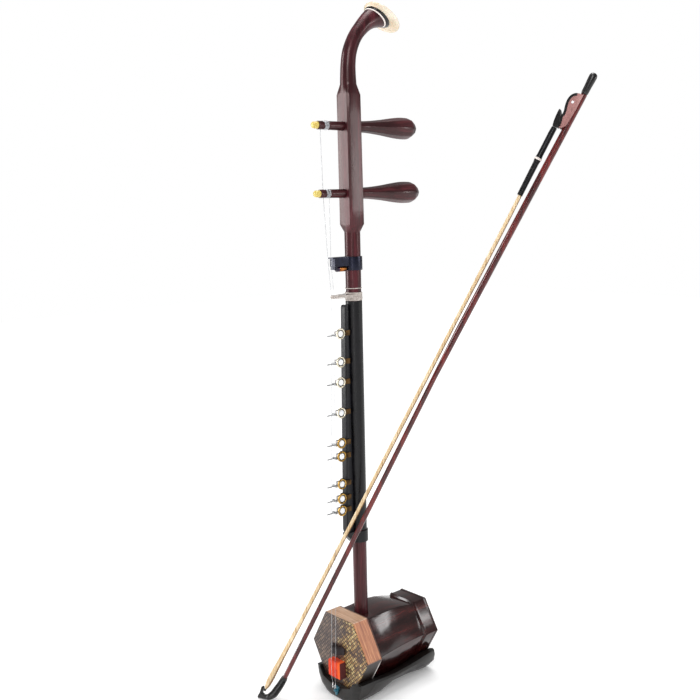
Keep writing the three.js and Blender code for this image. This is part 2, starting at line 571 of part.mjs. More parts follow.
// ---------------------------------------------------------------- base
{
  // cross-sections of the cradle at stations along y: half outline of the
  // outside (x, z) and the trough radius that follows the box's lower sides
  const ST = [
    // y,   flat, [x1,z1],     [x2,z2],      [x3,z3],     wallTop z, s_in
    [-41.0, 16, [24.5, 2.2], [34.2, 9.4], [39.4, 21.5], 31.2, 51.5],
    [-30.0, 21, [29.5, 3.8], [37.8, 12.5], [41.6, 25.0], 31.0, 51.5],
    [-18.0, 24.5, [32.5, 6.0], [39.6, 15.5], [42.2, 26.0], 30.0, 51.5],
    [-2.0, 22.5, [31.5, 6.6], [38.6, 15.5], [41.8, 25.0], 28.5, 51.5],
    [16.0, 17, [25.5, 7.2], [36.2, 16.0], [40.6, 23.5], 27.0, 50.8],
    [36.0, 13.5, [22.6, 7.0], [35.0, 16.4], [39.4, 23.5], 27.2, 48.8],
    [56.0, 13.0, [22.6, 6.4], [35.0, 15.4], [38.4, 23.6], 28.4, 46.2],
    [68.0, 14.5, [23.6, 5.8], [34.8, 14.6], [37.6, 23.6], 29.4, 44.2],
    [80.0, 16.5, [25.0, 5.4], [34.0, 14.0], [36.4, 24.0], 30.4, 44.0],
    [90.5, 16.5, [24.6, 5.6], [32.6, 14.4], [34.8, 24.0], 31.0, 44.0],
  ];
  const half = (st, trough) => {
    const [y, f, p1, p2, p3, zt, s] = st;
    const inner = z => s - (ZB - z) / Math.sqrt(3);      // x on the hexagon's lower side
    const zb = ZB - s * Math.sqrt(3) / 2;
    const pts = [[f, 0], p1, p2, p3, [inner(zt) + (p3[0] - inner(p3[1])) * 0.72, zt - 0.6], [inner(zt) + 1.4, zt]];
    if (trough) pts.push([inner(zt), zt - 0.7], [s / 2, zb]);
    return pts;
  };
  const full = (st) => {
    const h = half(st, true);
    return [...h, ...h.slice().reverse().map(p => [-p[0], p[1]])].map(p => new THREE.Vector3(p[0], st[0], p[1]));
  };
  const cradle = loft(ST.map(full));
  // front lip, closing the trough in front of the skin
  const ringOf = (y, h) => [...h, ...h.slice().reverse().map(p => [-p[0], p[1]])].map(p => new THREE.Vector3(p[0], y, p[1]));
  const lip = loft([
    ringOf(-46.6, [[8, 6.6], [15.5, 8.0], [24.4, 14.2], [30.0, 22.0], [32.0, 29.6], [30.4, 31.0], [24.8, 22.6], [11, 18.0]]),
    ringOf(-45.6, [[10.5, 3.8], [18.8, 5.8], [28.0, 12.2], [33.2, 21.2], [35.0, 30.0], [32.6, 31.8], [25.8, 22.4], [11.5, 18.4]]),
    ringOf(-43.6, [[14, 1.0], [22.2, 3.4], [31.8, 10.6], [36.8, 21.2], [38.2, 29.6], [35.0, 31.9], [27, 22.1], [12, 18.6]]),
    ringOf(-40.4, [[16, 0], [24.5, 2.2], [34.2, 9.4], [39.4, 21.5], [40.0, 28.6], [36.4, 31.4], [27.5, 21.8], [12, 18.6]]),
  ]);
  // rear lip behind the rear flange
  const rear = loft([
    ringOf(90.35, [[16.5, 0], [24.6, 5.6], [32.6, 14.4], [34.8, 24.0], [33.6, 29.4], [29.6, 30.6], [24.6, 27.2], [17, 25.2]]),
    ringOf(93.4, [[16, 1.0], [23.9, 6.0], [31.8, 14.6], [33.8, 23.6], [32.6, 29.2], [29.0, 30.2], [24.2, 27.0], [17, 25.0]]),
    ringOf(95.2, [[14.5, 4.0], [22.2, 8.2], [29.4, 15.4], [31.2, 23.2], [30.4, 27.8], [27.6, 28.8], [23.4, 26.2], [16.5, 24.2]]),
  ]);
  // the lip keeps clear of the skin: it starts in front of it
  const clearFront = loft([hexXZ(S_FRONT + 0.5, -40.1), hexXZ(S_FRONT + 0.5, -30)]);
  const screwHole = new THREE.CylinderGeometry(2.6, 2.6, 40, 12);
  screwHole.rotateX(Math.PI / 2);
  screwHole.translate(0, -LEAN, 0);
  const bore = new THREE.CylinderGeometry(5.6, 5.6, 7.2, 16);
  bore.rotateX(Math.PI / 2);
  bore.translate(0, -LEAN, 0);
  const g = cut(join(cradle, lip, rear), clearFront, screwHole, bore);
  add('base', g, M.base);

  const screw = lathe([[0, 0.5], [4.2, 0.5], [5.1, 1.2], [5.1, 3.2], [2.1, 3.2], [2.1, 34.4], [1.2, 36], [0, 36]], 16);
  screw.translate(0, -LEAN, 0);
  add('base_screw', screw, M.screw);
  // tail hook on the front lip, holding the strings' loops
  const plate = slab([[0.4, 7.4], [2.8, 7.4], [7.2, 19.2], [-1.4, 19.6]], -48.9, -46.9);
  plate.rotateX(Math.PI / 2);
  plate.scale(1, -1, 1);
  const hp = orient(plate);
  const nose = new THREE.BoxGeometry(3.6, 3.0, 3.0);
  nose.translate(2.4, -50.1, 14.2);
  add('string_tail_hook', join(hp, nose), M.blue);
  // the two strings' end loops over the hook
}

// ---------------------------------------------------------------- bow
const D = BOW_X.clone().sub(BOW_T).normalize();
const E = BOW_S0.clone().sub(BOW_T);
E.addScaledVector(D, -E.dot(D)).normalize();
const N = D.clone().cross(E);
const bow = new THREE.Group();
bow.position.copy(BOW_T);
bow.quaternion.setFromRotationMatrix(new THREE.Matrix4().makeBasis(D, E, N));
inst.add(bow);
// bow pieces are laid out with x along the hair, y towards the stick
const STICK = [   // along, away from the hair, radius
  [-11.5, 8.2, 2.3], [-3.5, 11.9, 3.0], [10, 14.0, 3.1], [24, 15.0, 2.9], [44, 14.7, 2.9], [70, 14.1, 2.9], [120, 13.6, 2.9], [160, 13.1, 2.9],
  [220, 11.5, 3.0], [283, 10.0, 3.3], [330, 9.0, 3.4], [380, 8.4, 3.4], [440, 8.2, 3.4], [500, 8.4, 3.6], [560, 9.1, 3.6], [620, 10.4, 3.5],
  [680, 11.5, 3.35], [740, 11.9, 3.35], [770, 12.3, 3.5], [796, 12.7, 3.65],
];
const SCREW_E = 12.5;           // the bow screw's distance from the hair line
const stickY = s => lerp(STICK.map(p => [p[0], p[1]]), s);
const tube2 = (rows, sides = 10, a0 = 0) => loft(rows.map(([x, y, r], i) => {
  const a = rows[Math.max(0, i - 1)], b = rows[Math.min(rows.length - 1, i + 1)];
  const t = new THREE.Vector3(b[0] - a[0], b[1] - a[1], 0).normalize();
  const v = new THREE.Vector3(-t.y, t.x, 0), w = new THREE.Vector3(0, 0, 1);
  return Array.from({ length: sides }, (_, k) => {
    const q = a0 + 2 * Math.PI * k / sides;
    return new THREE.Vector3(x, y, 0).addScaledVector(v, r * Math.cos(q)).addScaledVector(w, r * Math.sin(q));
  });
}));
{
  const stick = tube2(STICK, 12);
  // bore for the screw in the frog end, and the slot for the screw eye
  const yS = SCREW_E;
  const bore = tube2([[763, yS, 2.35], [800, yS, 2.35]], 12);
  const slot = new THREE.BoxGeometry(26, 9, 3.0);
  slot.translate(779, yS - 4.5, 0);
  add('bow_stick', cut(stick, bore, slot), M.bow, bow);

  const screw = tube2([[765, yS, 1.0], [796.6, yS, 1.0]], 8);
  const button = tube2([[796.4, yS, 3.4], [798.5, yS, 4.0], [806, yS, 4.1], [812, yS, 4.5], [817.5, yS, 4.6], [820, yS, 3.8], [821.2, yS, 2.0]], 12);
  add('bow_screw', join(screw, button), M.horn, bow);

  // frog: a carved block under the stick
  const frogPts = [[752.6, 6.5], [753.2, 4.5], [757, 4.1], [761, 3.2], [764.8, 2.4], [767.4, 3.3], [770.8, 3.1], [776, 1.7], [780.4, 0.8], [785.2, 0.7], [789.4, 2.0], [792.6, 4.8], [793.6, 7.4], [770, 6.95]];
  // cheeks that run up both sides of the stick
  const cheekPts = [...frogPts.slice(1, 12), [794.6, 9.0], [794.2, 14.4], [775, 14.2], [757, 12.6], [752.8, 8.6]];
  const frog = join(slab(frogPts, -5.3, 5.3), slab(cheekPts, 4.55, 5.3), slab(cheekPts, -5.3, -4.55));
  const frogHole = new THREE.BoxGeometry(3.6, 7.0, 2.4);
  frogHole.translate(779, 7.1, 0);
  add('bow_frog', cut(frog, frogHole), M.frog, bow);
  const ring = tube2([[777.6, yS, 1.9], [780.4, yS, 1.9]], 12);
  const hole = tube2([[770, yS, 1.35], [790, yS, 1.35]], 12);
  const post = new THREE.BoxGeometry(2.8, 6.4, 1.8);
  post.translate(779, yS - 1.55 - 3.2, 0);
  add('frog_screw_eye', join(cut(ring, hole), cut(post, hole)), M.brass, bow);
  // horn tongue that the hair sleeve is tied to
  const horn = slab([[752.0, -3.1], [758, -4.3], [764, -4.9], [770.6, -5.0], [772.2, -4.5], [771.2, -3.2], [768.4, -1.2], [765.6, 0.6], [763.4, 1.6], [760.5, 2.4], [756, 3.3], [752.2, 3.6]], -3.0, 3.0);
  add('frog_horn', horn, M.horn, bow);

  // black sleeve over the hair's upper end
  const so = tube2([[668, -0.7, 3.2], [690, -0.9, 3.3], [708, -1.0, 3.4], [711.5, -1.0, 3.9], [714, -1.0, 3.9], [717.5, -1.0, 3.4], [745, -1.0, 3.4], [751.5, -0.8, 3.2]], 12);
  const si = tube2([[660, -0.45, 2.6], [690, -0.55, 2.6], [704, -0.6, 2.6]], 12);
  add('hair_sleeve', cut(so, si), M.black, bow);

  // hair: a flat bundle that keeps clear of both strings where it passes between them
  const m = new THREE.Vector3(D.y, -D.x, 0).normalize();       // level, square to the hair
  const me = m.dot(E), mn = m.dot(N);
  const hairRing = (x, y, hw, ht) => Array.from({ length: 10 }, (_, k) => {
    const q = 2 * Math.PI * k / 10;
    const cw = hw * Math.cos(q), ct = ht * Math.sin(q);
    return new THREE.Vector3(x, y + cw * -mn + ct * me, cw * me + ct * mn);
  });
  add('bow_hair', loft([hairRing(2.0, 0.2, 1.9, 0.8), hairRing(14, 0, 2.3, 0.75), hairRing(660, -0.1, 2.3, 0.75), hairRing(700, -0.3, 2.0, 0.75)]), M.hair, bow);

  // tip: wrapping round the curved end of the stick, and the knot that holds the hair
  const outerWrap = tube2([[-7.5, 10.05, 3.9], [-3.5, 11.9, 4.5], [4, 13.1, 4.5], [10, 14.0, 4.3], [20, 14.7, 3.9]], 12);
  const innerWrap = tube2([[-20, 1.6, 2.6], [-11.5, 8.2, 2.62], [-3.5, 11.9, 3.32], [10, 14.0, 3.42], [24, 15.0, 3.22], [44, 14.7, 3.2]], 12);
  add('bow_tip_wrap', cut(outerWrap, innerWrap), M.horn, bow);
  // forked tip: the hair's knot sits between the fin and the stick
  const fork = slab([[-10.9, 6.0], [-9.8, 4.4], [-12.3, 1.2], [-12.2, -2.4], [-6.2, -3.6], [-4.6, -5.2], [-5.4, -6.5], [-13.2, -5.0], [-18.4, -5.4], [-20.4, -4.4], [-20.4, -3.0], [-18.9, -1.2], [-17.0, 2.6], [-14.9, 6.2], [-13.0, 9.6]], -2.4, 2.4);
  add('bow_tip_hook', fork, M.horn, bow);
}

export default root;
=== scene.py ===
"""Erhu with its bow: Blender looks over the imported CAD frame."""
import json
import math

import bmesh
import bpy
import numpy as np
from mathutils import Matrix, Vector, noise

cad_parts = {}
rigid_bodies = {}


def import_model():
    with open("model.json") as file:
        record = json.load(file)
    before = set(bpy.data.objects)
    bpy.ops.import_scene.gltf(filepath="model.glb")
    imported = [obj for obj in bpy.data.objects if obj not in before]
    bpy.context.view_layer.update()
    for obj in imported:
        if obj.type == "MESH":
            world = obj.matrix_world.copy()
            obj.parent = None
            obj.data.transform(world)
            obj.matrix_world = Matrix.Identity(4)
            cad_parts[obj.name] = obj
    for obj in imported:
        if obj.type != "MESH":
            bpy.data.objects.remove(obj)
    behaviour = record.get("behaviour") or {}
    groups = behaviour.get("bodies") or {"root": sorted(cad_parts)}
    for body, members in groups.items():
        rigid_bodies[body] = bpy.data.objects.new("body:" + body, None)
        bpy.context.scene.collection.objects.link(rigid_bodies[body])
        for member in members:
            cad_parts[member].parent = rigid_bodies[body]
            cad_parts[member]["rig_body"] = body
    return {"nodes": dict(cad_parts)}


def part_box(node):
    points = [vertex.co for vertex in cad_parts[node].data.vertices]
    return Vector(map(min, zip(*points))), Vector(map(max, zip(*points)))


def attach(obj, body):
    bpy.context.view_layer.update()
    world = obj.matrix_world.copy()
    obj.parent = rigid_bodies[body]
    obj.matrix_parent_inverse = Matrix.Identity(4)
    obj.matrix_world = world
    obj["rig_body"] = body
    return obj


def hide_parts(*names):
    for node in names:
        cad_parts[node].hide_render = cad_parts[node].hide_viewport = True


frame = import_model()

for _n in ("Cube", "Light", "Camera"):
    _o = bpy.data.objects.get(_n)
    if _o is not None and _n not in frame["nodes"]:
        bpy.data.objects.remove(_o)
bpy.context.view_layer.update()


def mid(node):
    lo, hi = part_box(node)
    return [(lo[i] + hi[i]) * 500.0 for i in range(3)]


# ---------------------------------------------------------------- layout, mm about the neck axis
LEAN = 2.4
OY = mid("base_screw")[1] + LEAN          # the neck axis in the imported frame
Z_TOP_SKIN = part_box("python_skin")[1][2] * 1000
Z_BOT_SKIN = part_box("python_skin")[0][2] * 1000
ZB = (Z_TOP_SKIN + Z_BOT_SKIN) / 2
R_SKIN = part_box("python_skin")[1][0] * 1000
Y_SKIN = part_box("python_skin")[0][1] * 1000 - OY
Y_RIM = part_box("python_skin")[1][1] * 1000 - OY
Z_PEG = {"upper_peg": mid("upper_peg")[2], "lower_peg": mid("lower_peg")[2]}
STOP_Z = [mid("position_stop_%d" % i)[2] for i in range(1, 10)]
DISC = [(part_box("stop_disc_%d" % i)[0][0] * 1000, mid("stop_disc_%d" % i)) for i in range(1, 10)]
NECK_R0, NECK_R1, Z_SQ0, Z_SQ1 = 8.5, 9.4, 572.0, 737.0
SQ_H, SQ_C = 11.1, 2.2


def neck_r(z):
    return NECK_R0 + (NECK_R1 - NECK_R0) * (z - 101) / (Z_SQ0 - 101)


def neck_y(z):
    return -LEAN * min(1.0, max(0.0, (Z_SQ0 - z) / (Z_SQ0 - 101)))


# ---------------------------------------------------------------- shader helpers
def lin(c):
    return tuple((v / 12.92 if v <= 0.04045 else ((v + 0.055) / 1.055) ** 2.4) for v in c)


def hexc(h):
    return lin([int(h[i:i + 2], 16) / 255 for i in (0, 2, 4)])


class Mat:
    """A small builder for a node material around one Principled shader."""

    def __init__(self, name, **sockets):
        self.m = bpy.data.materials.new(name)
        self.m.use_nodes = True
        self.nt = self.m.node_tree
        self.p = next(n for n in self.nt.nodes if n.type == "BSDF_PRINCIPLED")
        for k, v in sockets.items():
            self.p.inputs[k.replace("_", " ")].default_value = v
        self.tc = self.node("ShaderNodeTexCoord")

    def node(self, kind, **props):
        n = self.nt.nodes.new(kind)
        for k, v in props.items():
            setattr(n, k, v)
        return n

    def link(self, a, b):
        self.nt.links.new(a, b)

    def coords(self, scale=(1, 1, 1), rot=(0, 0, 0), loc=(0, 0, 0)):
        n = self.node("ShaderNodeMapping")
        n.inputs["Scale"].default_value = scale
        n.inputs["Rotation"].default_value = rot
        n.inputs["Location"].default_value = loc
        self.link(self.tc.outputs["Object"], n.inputs["Vector"])
        return n.outputs["Vector"]

    def noise(self, vec, scale=1.0, detail=4.0, rough=0.55, dist=0.0):
        n = self.node("ShaderNodeTexNoise")
        n.inputs["Scale"].default_value = scale
        n.inputs["Detail"].default_value = detail
        n.inputs["Roughness"].default_value = rough
        n.inputs["Distortion"].default_value = dist
        self.link(vec, n.inputs["Vector"])
        return n.outputs["Fac"]

    def ramp(self, fac, stops):
        n = self.node("ShaderNodeValToRGB")
        cr = n.color_ramp
        while len(cr.elements) < len(stops):
            cr.elements.new(0.5)
        for el, (p, c) in zip(cr.elements, stops):
            el.position = p
            el.color = (*c, 1)
        self.link(fac, n.inputs["Fac"])
        return n.outputs["Color"]

    def math(self, op, a, b=None, c=None):
        n = self.node("ShaderNodeMath", operation=op)
        for i, v in enumerate((a, b, c)):
            if v is None:
                continue
            if isinstance(v, (int, float)):
                n.inputs[i].default_value = v
            else:
                self.link(v, n.inputs[i])
        return n.outputs[0]

    def mix(self, fac, a, b, blend="MIX"):
        n = self.node("ShaderNodeMix", data_type="RGBA", blend_type=blend)
        ins = {"Factor": fac, "A": a, "B": b}
        for s in n.inputs:
            if s.name in ins and s.enabled:
                v = ins[s.name]
                if isinstance(v, (int, float)):
                    s.default_value = v
                elif isinstance(v, tuple):
                    s.default_value = (*v, 1)
                else:
                    self.link(v, s)
        return next(o for o in n.outputs if o.enabled)

    def axis(self, i):
        n = self.node("ShaderNodeSeparateXYZ")
        self.link(self.tc.outputs["Object"], n.inputs[0])
        return n.outputs[i]

    def range(self, v, a, b, c, d, clamp=True, smooth=False):
        n = self.node("ShaderNodeMapRange", clamp=clamp)
        if smooth:
            n.interpolation_type = "SMOOTHSTEP"
        for i, x in enumerate((v, a, b, c, d)):
            if isinstance(x, (int, float)):
                n.inputs[i].default_value = x
            else:
                self.link(x, n.inputs[i])
        return n.outputs[0]

    def color(self, c):
        self.link(c, self.p.inputs["Base Color"])
        return self

    def rough(self, fac, lo, hi):
        self.link(self.range(fac, 0.3, 0.7, lo, hi), self.p.inputs["Roughness"])
        return self

    def bump(self, h, strength=0.3, dist=0.0003):
        n = self.node("ShaderNodeBump")
        n.inputs["Strength"].default_value = strength
        n.inputs["Distance"].default_value = dist
        self.link(h, n.inputs["Height"])
        self.link(n.outputs["Normal"], self.p.inputs["Normal"])
        return self


def wood(name, dark, mid_c, light, axis="z", rough=(0.22, 0.36), coat=0.35, grain=420.0, bump=0.12, streak=26.0, rot=None, spec=0.4):
    m = Mat(name, Coat_Weight=coat * 0.6, Coat_Roughness=0.12, IOR=1.45, Specular_IOR_Level=spec)
    s = {"x": (streak, grain, grain), "y": (grain, streak, grain), "z": (grain, grain, streak)}[axis]
    v = m.coords(s, rot or (0, 0, 0))
    n1 = m.noise(v, 1.0, 6, 0.6, 0.3)
    s2 = tuple(k * 0.22 for k in s)
    n2 = m.noise(m.coords(s2, rot or (0, 0, 0), (3, 1, 2)), 1.0, 3, 0.5, 0.8)
    both = m.math("ADD", m.math("MULTIPLY", n1, 0.45), m.math("MULTIPLY", n2, 0.55))
    c = m.ramp(both, [(0.34, dark), (0.5, mid_c), (0.66, light)])
    pores = m.noise(m.coords(tuple(k * 2.6 for k in s), rot or (0, 0, 0), (7, 4, 1)), 1.0, 2, 0.4)
    pm = m.range(pores, 0.62, 0.74, 0.0, 1.0)
    c = m.mix(m.math("MULTIPLY", pm, 0.55), c, tuple(k * 0.35 for k in dark))
    m.color(c)
    m.rough(n2, *rough)
    m.bump(m.math("SUBTRACT", n1, m.math("MULTIPLY", pm, 0.6)), bump, 0.0002)
    m.c = c
    m.n1, m.n2 = n1, n2
    return m


def plastic(name, c1, c2, rough=(0.28, 0.42), scale=160.0, bump=0.05, coat=0.0, **kw):
    kw.setdefault("Specular_IOR_Level", 0.4)
    m = Mat(name, Coat_Weight=coat * 0.5, Coat_Roughness=0.1, **kw)
    n1 = m.noise(m.coords((scale,) * 3), 1.0, 4, 0.55)
    n2 = m.noise(m.coords((scale * 9,) * 3, loc=(5, 2, 8)), 1.0, 3, 0.6)
    m.color(m.ramp(n1, [(0.32, c1), (0.68, c2)]))
    m.rough(n1, *rough)
    m.bump(n2, bump, 0.0001)
    m.n1, m.n2 = n1, n2
    return m


def metal(name, c1, c2, rough=(0.2, 0.38), axis=2, scale=900.0, bump=0.08):
    m = Mat(name, Metallic=1.0)
    s = [scale] * 3
    s[axis] = scale * 0.05
    n1 = m.noise(m.coords(tuple(s)), 1.0, 4, 0.6)
    n2 = m.noise(m.coords((140,) * 3, loc=(2, 9, 4)), 1.0, 4, 0.6)
    m.color(m.ramp(n2, [(0.34, c1), (0.66, c2)]))
    m.rough(n2, *rough)
    m.bump(n1, bump, 0.0001)
    m.n1, m.n2 = n1, n2
    return m


# ---------------------------------------------------------------- materials
MT = {}
MT["neck"] = wood("rosewood_neck", hexc("1a070a"), hexc("341217"), hexc("562029"), "z", (0.26, 0.4), 0.2, bump=0.05)
MT["neck"].p.inputs["Specular Tint"].default_value = (1.0, 0.7, 0.68, 1)
MT["peg"] = wood("peg_rosewood", hexc("1a0709"), hexc("301014"), hexc("521f25"), "y", (0.26, 0.4), 0.25, bump=0.08)
MT["peg"].p.inputs["Specular Tint"].default_value = (1.0, 0.72, 0.7, 1)
MT["box"] = wood("box_hardwood", hexc("120404"), hexc("260a0a"), hexc("461613"), "y", (0.12, 0.22), 0.5, bump=0.05)
MT["ebony"] = wood("ebony", hexc("070505"), hexc("110a0a"), hexc("1d1211"), "y", (0.2, 0.32), 0.5)
MT["bridge"] = wood("bridge_wood", hexc("100708"), hexc("1e1115"), hexc("352126"), "x", (0.4, 0.55), 0.0)
MT["bow"] = wood("bow_wood", hexc("250507"), hexc("4a0d0f"), hexc("7c201c"), "z", (0.16, 0.28), 0.7, rot=(0.18, 0.3, 0))
MT["frog"] = wood("frog_wood", hexc("8a5f5c"), hexc("9e726f"), hexc("b58b87"), "z", (0.22, 0.34), 0.5, grain=180.0, bump=0.03, rot=(0.18, 0.3, 0))
MT["base"] = wood("base_black_wood", hexc("080605"), hexc("110e0c"), hexc("201b17"), "y", (0.3, 0.46), 0.15, bump=0.2)
MT["black"] = plastic("smooth_black", hexc("050507"), hexc("0e0d12"), (0.26, 0.38), coat=0.0, Specular_IOR_Level=0.3)
MT["rail"] = plastic("rail_black", hexc("050508"), hexc("0e0e16"), (0.34, 0.46), coat=0.0, Specular_IOR_Level=0.3)
MT["navy"] = plastic("clamp_navy", hexc("070810"), hexc("121426"), (0.24, 0.34), coat=0.1, Specular_IOR_Level=0.35)
MT["navy"].p.inputs["Specular Tint"].default_value = (0.72, 0.74, 1.0, 1)
MT["horn"] = plastic("black_horn", hexc("060506"), hexc("141112"), (0.22, 0.4), scale=240, bump=0.12, coat=0.3)
MT["white"] = plastic("inlay_white", hexc("d8cbc4"), hexc("f4ece6"), (0.25, 0.36), coat=0.2)
MT["tip"] = plastic("yellow_bone", hexc("b99a3c"), hexc("e3d27c"), (0.22, 0.35), scale=520, coat=0.3)
MT["steel"] = metal("string_steel", hexc("c4c6c9"), hexc("f0f0ef"), (0.16, 0.3), 2, 2600)
MT["string"] = metal("dull_wire", hexc("9a9ca1"), hexc("cfd1d3"), (0.3, 0.45), 2, 2600)
MT["screw"] = metal("screw_steel", hexc("8d8e90"), hexc("c2c2c0"), (0.25, 0.4), 2, 900)
m = metal("stop_bronze", hexc("2e2216"), hexc("5f472a"), (0.3, 0.45), 0, 900)
tt = m.math("ADD", m.axis(1), m.math("ADD", m.math("MULTIPLY", m.axis(2), -0.02483), 0.05229))
cc = m.p.inputs["Base Color"].links[0].from_socket
m.color(m.mix(m.range(tt, -0.0116, -0.0108, 0.0, 1.0), hexc("9a9b9c"), cc))
MT["stop"] = m
MT["blue"] = plastic("hook_lacquer", hexc("174858"), hexc("236a7e"), (0.25, 0.4), coat=0.4)

# bone cap: warm tan body, paler towards its edge
m = Mat("head_bone", Coat_Weight=0.25, Coat_Roughness=0.2, Subsurface_Weight=0.08)
m.p.inputs["Subsurface Scale"].default_value = 0.003
n1 = m.noise(m.coords((70, 70, 70)), 1.0, 5, 0.6, 0.6)
n2 = m.noise(m.coords((420, 420, 420)), 1.0, 4, 0.6)
c = m.ramp(n1, [(0.3, hexc("b9a488")), (0.5, hexc("d2c0a4")), (0.72, hexc("e9dcc6"))])
edge = m.range(m.math("ABSOLUTE", m.axis(0)), 0.012, 0.0205, 0.0, 1.0, smooth=True)
c = m.mix(m.math("MULTIPLY", edge, 0.6), c, hexc("f3ebdd"))
m.color(c).rough(n1, 0.28, 0.42).bump(n2, 0.08, 0.0002)
MT["bone"] = m

# brass screw with a dark plastic thumb end
m = metal("clamp_brass", hexc("8f5526"), hexc("d08a4c"), (0.24, 0.4), 1, 900)
MT["brass"] = m
m = metal("eye_brass", hexc("a87a34"), hexc("d9b060"), (0.2, 0.34), 2, 900)
MT["eye"] = m
MT["thumb"] = plastic("thumb_plastic", hexc("1a0a1e"), hexc("34183c"), (0.3, 0.42), coat=0.2)

# stop discs: pearly face with a metallic rim chosen by radius on the mesh; the groove inside the rim is painted dark as
# painted shade
m = Mat("pearl_face", Coat_Weight=0.6, Coat_Roughness=0.06)
n1 = m.noise(m.coords((260, 260, 260)), 1.0, 4, 0.6, 1.2)
n2 = m.noise(m.coords((1200, 1200, 1200)), 1.0, 3, 0.6)
m.color(m.ramp(n1, [(0.3, hexc("d3dbe8")), (0.5, hexc("f1f2f4")), (0.7, hexc("fbf6ee"))]))
m.rough(n1, 0.12, 0.24).bump(n2, 0.05, 0.0001)
MT["pearl"] = m
MT["rim_silver"] = metal("disc_rim_silver", hexc("c9c0a6"), hexc("efe8d6"), (0.15, 0.3), 0, 900)
MT["rim_gold"] = metal("disc_rim_gold", hexc("8c6a30"), hexc("cfa75c"), (0.15, 0.3), 0, 900)
MT["groove_painted_shade"] = plastic("disc_groove_painted_shade", hexc("191410"), hexc("342a20"), (0.4, 0.55))

# twisted cord
m = Mat("qianjin_cord", Roughness=0.8, Sheen_Weight=0.35, Sheen_Roughness=0.5)
n1 = m.noise(m.coords((420, 420, 900)), 1.0, 5, 0.65)
n2 = m.noise(m.coords((3200, 3200, 3200)), 1.0, 3, 0.6)
m.color(m.ramp(n1, [(0.3, hexc("8d837c")), (0.5, hexc("b9afa8")), (0.7, hexc("d9d2cc"))]))
m.rough(n2, 0.7, 0.9).bump(n2, 0.35, 0.0002)
MT["cord"] = m

# trim strip
m = Mat("skin_trim", Roughness=0.6, Sheen_Weight=0.15)
n1 = m.noise(m.coords((300, 300, 300)), 1.0, 4, 0.6)
n2 = m.noise(m.coords((2600, 2600, 2600)), 1.0, 3, 0.6)
tr = m.ramp(n1, [(0.3, hexc("b8b0aa")), (0.7, hexc("e9e5e1"))])
tr2 = m.ramp(n1, [(0.3, hexc("3a2018")), (0.7, hexc("5b3626"))])
m.color(m.mix(m.range(m.axis(2), (ZB - 9) / 1000, (ZB - 3) / 1000, 0.0, 1.0), tr, tr2)).rough(n1, 0.5, 0.7).bump(n2, 0.2, 0.0001)
MT["trim"] = m

# felt, with a painted highlight stripe right of centre and darker towards the right edge
m = Mat("red_felt", Sheen_Weight=0.15, Sheen_Roughness=0.6)
m.p.inputs["Sheen Tint"].default_value = (1.0, 0.45, 0.25, 1)
n1 = m.noise(m.coords((170, 170, 170)), 1.0, 5, 0.7, 0.4)
n2 = m.noise(m.coords((2400, 2400, 2400)), 1.0, 4, 0.7, 0.6)
c = m.ramp(n1, [(0.3, hexc("a81505")), (0.5, hexc("d3270a")), (0.7, hexc("ea4212"))])
c = m.mix(m.range(n2, 0.4, 0.75, 0.0, 0.3), c, hexc("ff6a30"))
fx = m.math("ADD", m.axis(0), m.math("MULTIPLY", m.math("SUBTRACT", n1, 0.5), 0.0012))
# painted highlight: a brighter orange stripe from about x 5.2 mm to 10 mm
c = m.mix(m.range(fx, 0.0052, 0.0066, 0.0, 0.75, smooth=True), c, hexc("ff6416"))
# darker towards the right edge
c = m.mix(m.range(fx, 0.0098, 0.0108, 0.0, 1.0, smooth=True), c, hexc("4a0a12"))
m.color(c).rough(n2, 0.82, 0.98).bump(n2, 0.6, 0.0004)
MT["felt"] = m

# horsehair
m = Mat("horsehair", Specular_IOR_Level=0.6)
n1 = m.noise(m.coords((900, 900, 12), (0.18, 0.3, 0)), 1.0, 4, 0.6)
n2 = m.noise(m.coords((60, 60, 60)), 1.0, 3, 0.6)
m.color(m.ramp(n1, [(0.3, hexc("b48a58")), (0.45, hexc("e4c594")), (0.62, hexc("fae8c6"))]))
m.rough(n2, 0.34, 0.5).bump(n1, 0.2, 0.0001)
MT["hair"] = m
# darker hair for the strands along one edge of the ribbon: painted shade
m = Mat("horsehair_painted_shade", Specular_IOR_Level=0.4)
n1 = m.noise(m.coords((900, 900, 12), (0.18, 0.3, 0)), 1.0, 4, 0.6)
m.color(m.ramp(n1, [(0.35, hexc("6b4826")), (0.65, hexc("a9824f"))])).rough(n1, 0.4, 0.55).bump(n1, 0.2, 0.0001)
MT["hair_painted_shade"] = m

# snake skin: diamond scales on the face, plain streaked hide folded round the rim, with painted shade on the lower rim
# faces and a painted highlight along the top
W, H = 5.3, 5.0
m = Mat("python_scales", Coat_Weight=0.18, Coat_Roughness=0.3)
x, y, z = m.axis(0), m.axis(1), m.axis(2)
warp = m.noise(m.coords((38, 38, 38), loc=(4, 4, 4)), 1.0, 2, 0.5)
xs = m.math("ADD", m.math("MULTIPLY", x, 1000.0 / W), m.math("MULTIPLY", warp, 0.5))
zs = m.math("MULTIPLY", z, 1000.0 / H)
u = m.math("ADD", xs, zs)
v = m.math("SUBTRACT", xs, zs)
edge = m.math("MINIMUM", m.math("PINGPONG", u, 0.5), m.math("PINGPONG", v, 0.5))
cell = m.node("ShaderNodeCombineXYZ")
m.link(m.math("FLOOR", u), cell.inputs[0])
m.link(m.math("FLOOR", v), cell.inputs[1])
wn = m.node("ShaderNodeTexWhiteNoise", noise_dimensions="3D")
m.link(cell.outputs[0], wn.inputs["Vector"])
blot = m.noise(m.coords((44, 1, 52), loc=(1.7, 0, 6.2)), 1.0, 2, 0.5, 0.3)
bl = m.math("ADD", m.math("MULTIPLY", blot, 0.72), m.math("MULTIPLY", wn.outputs["Value"], 0.28))
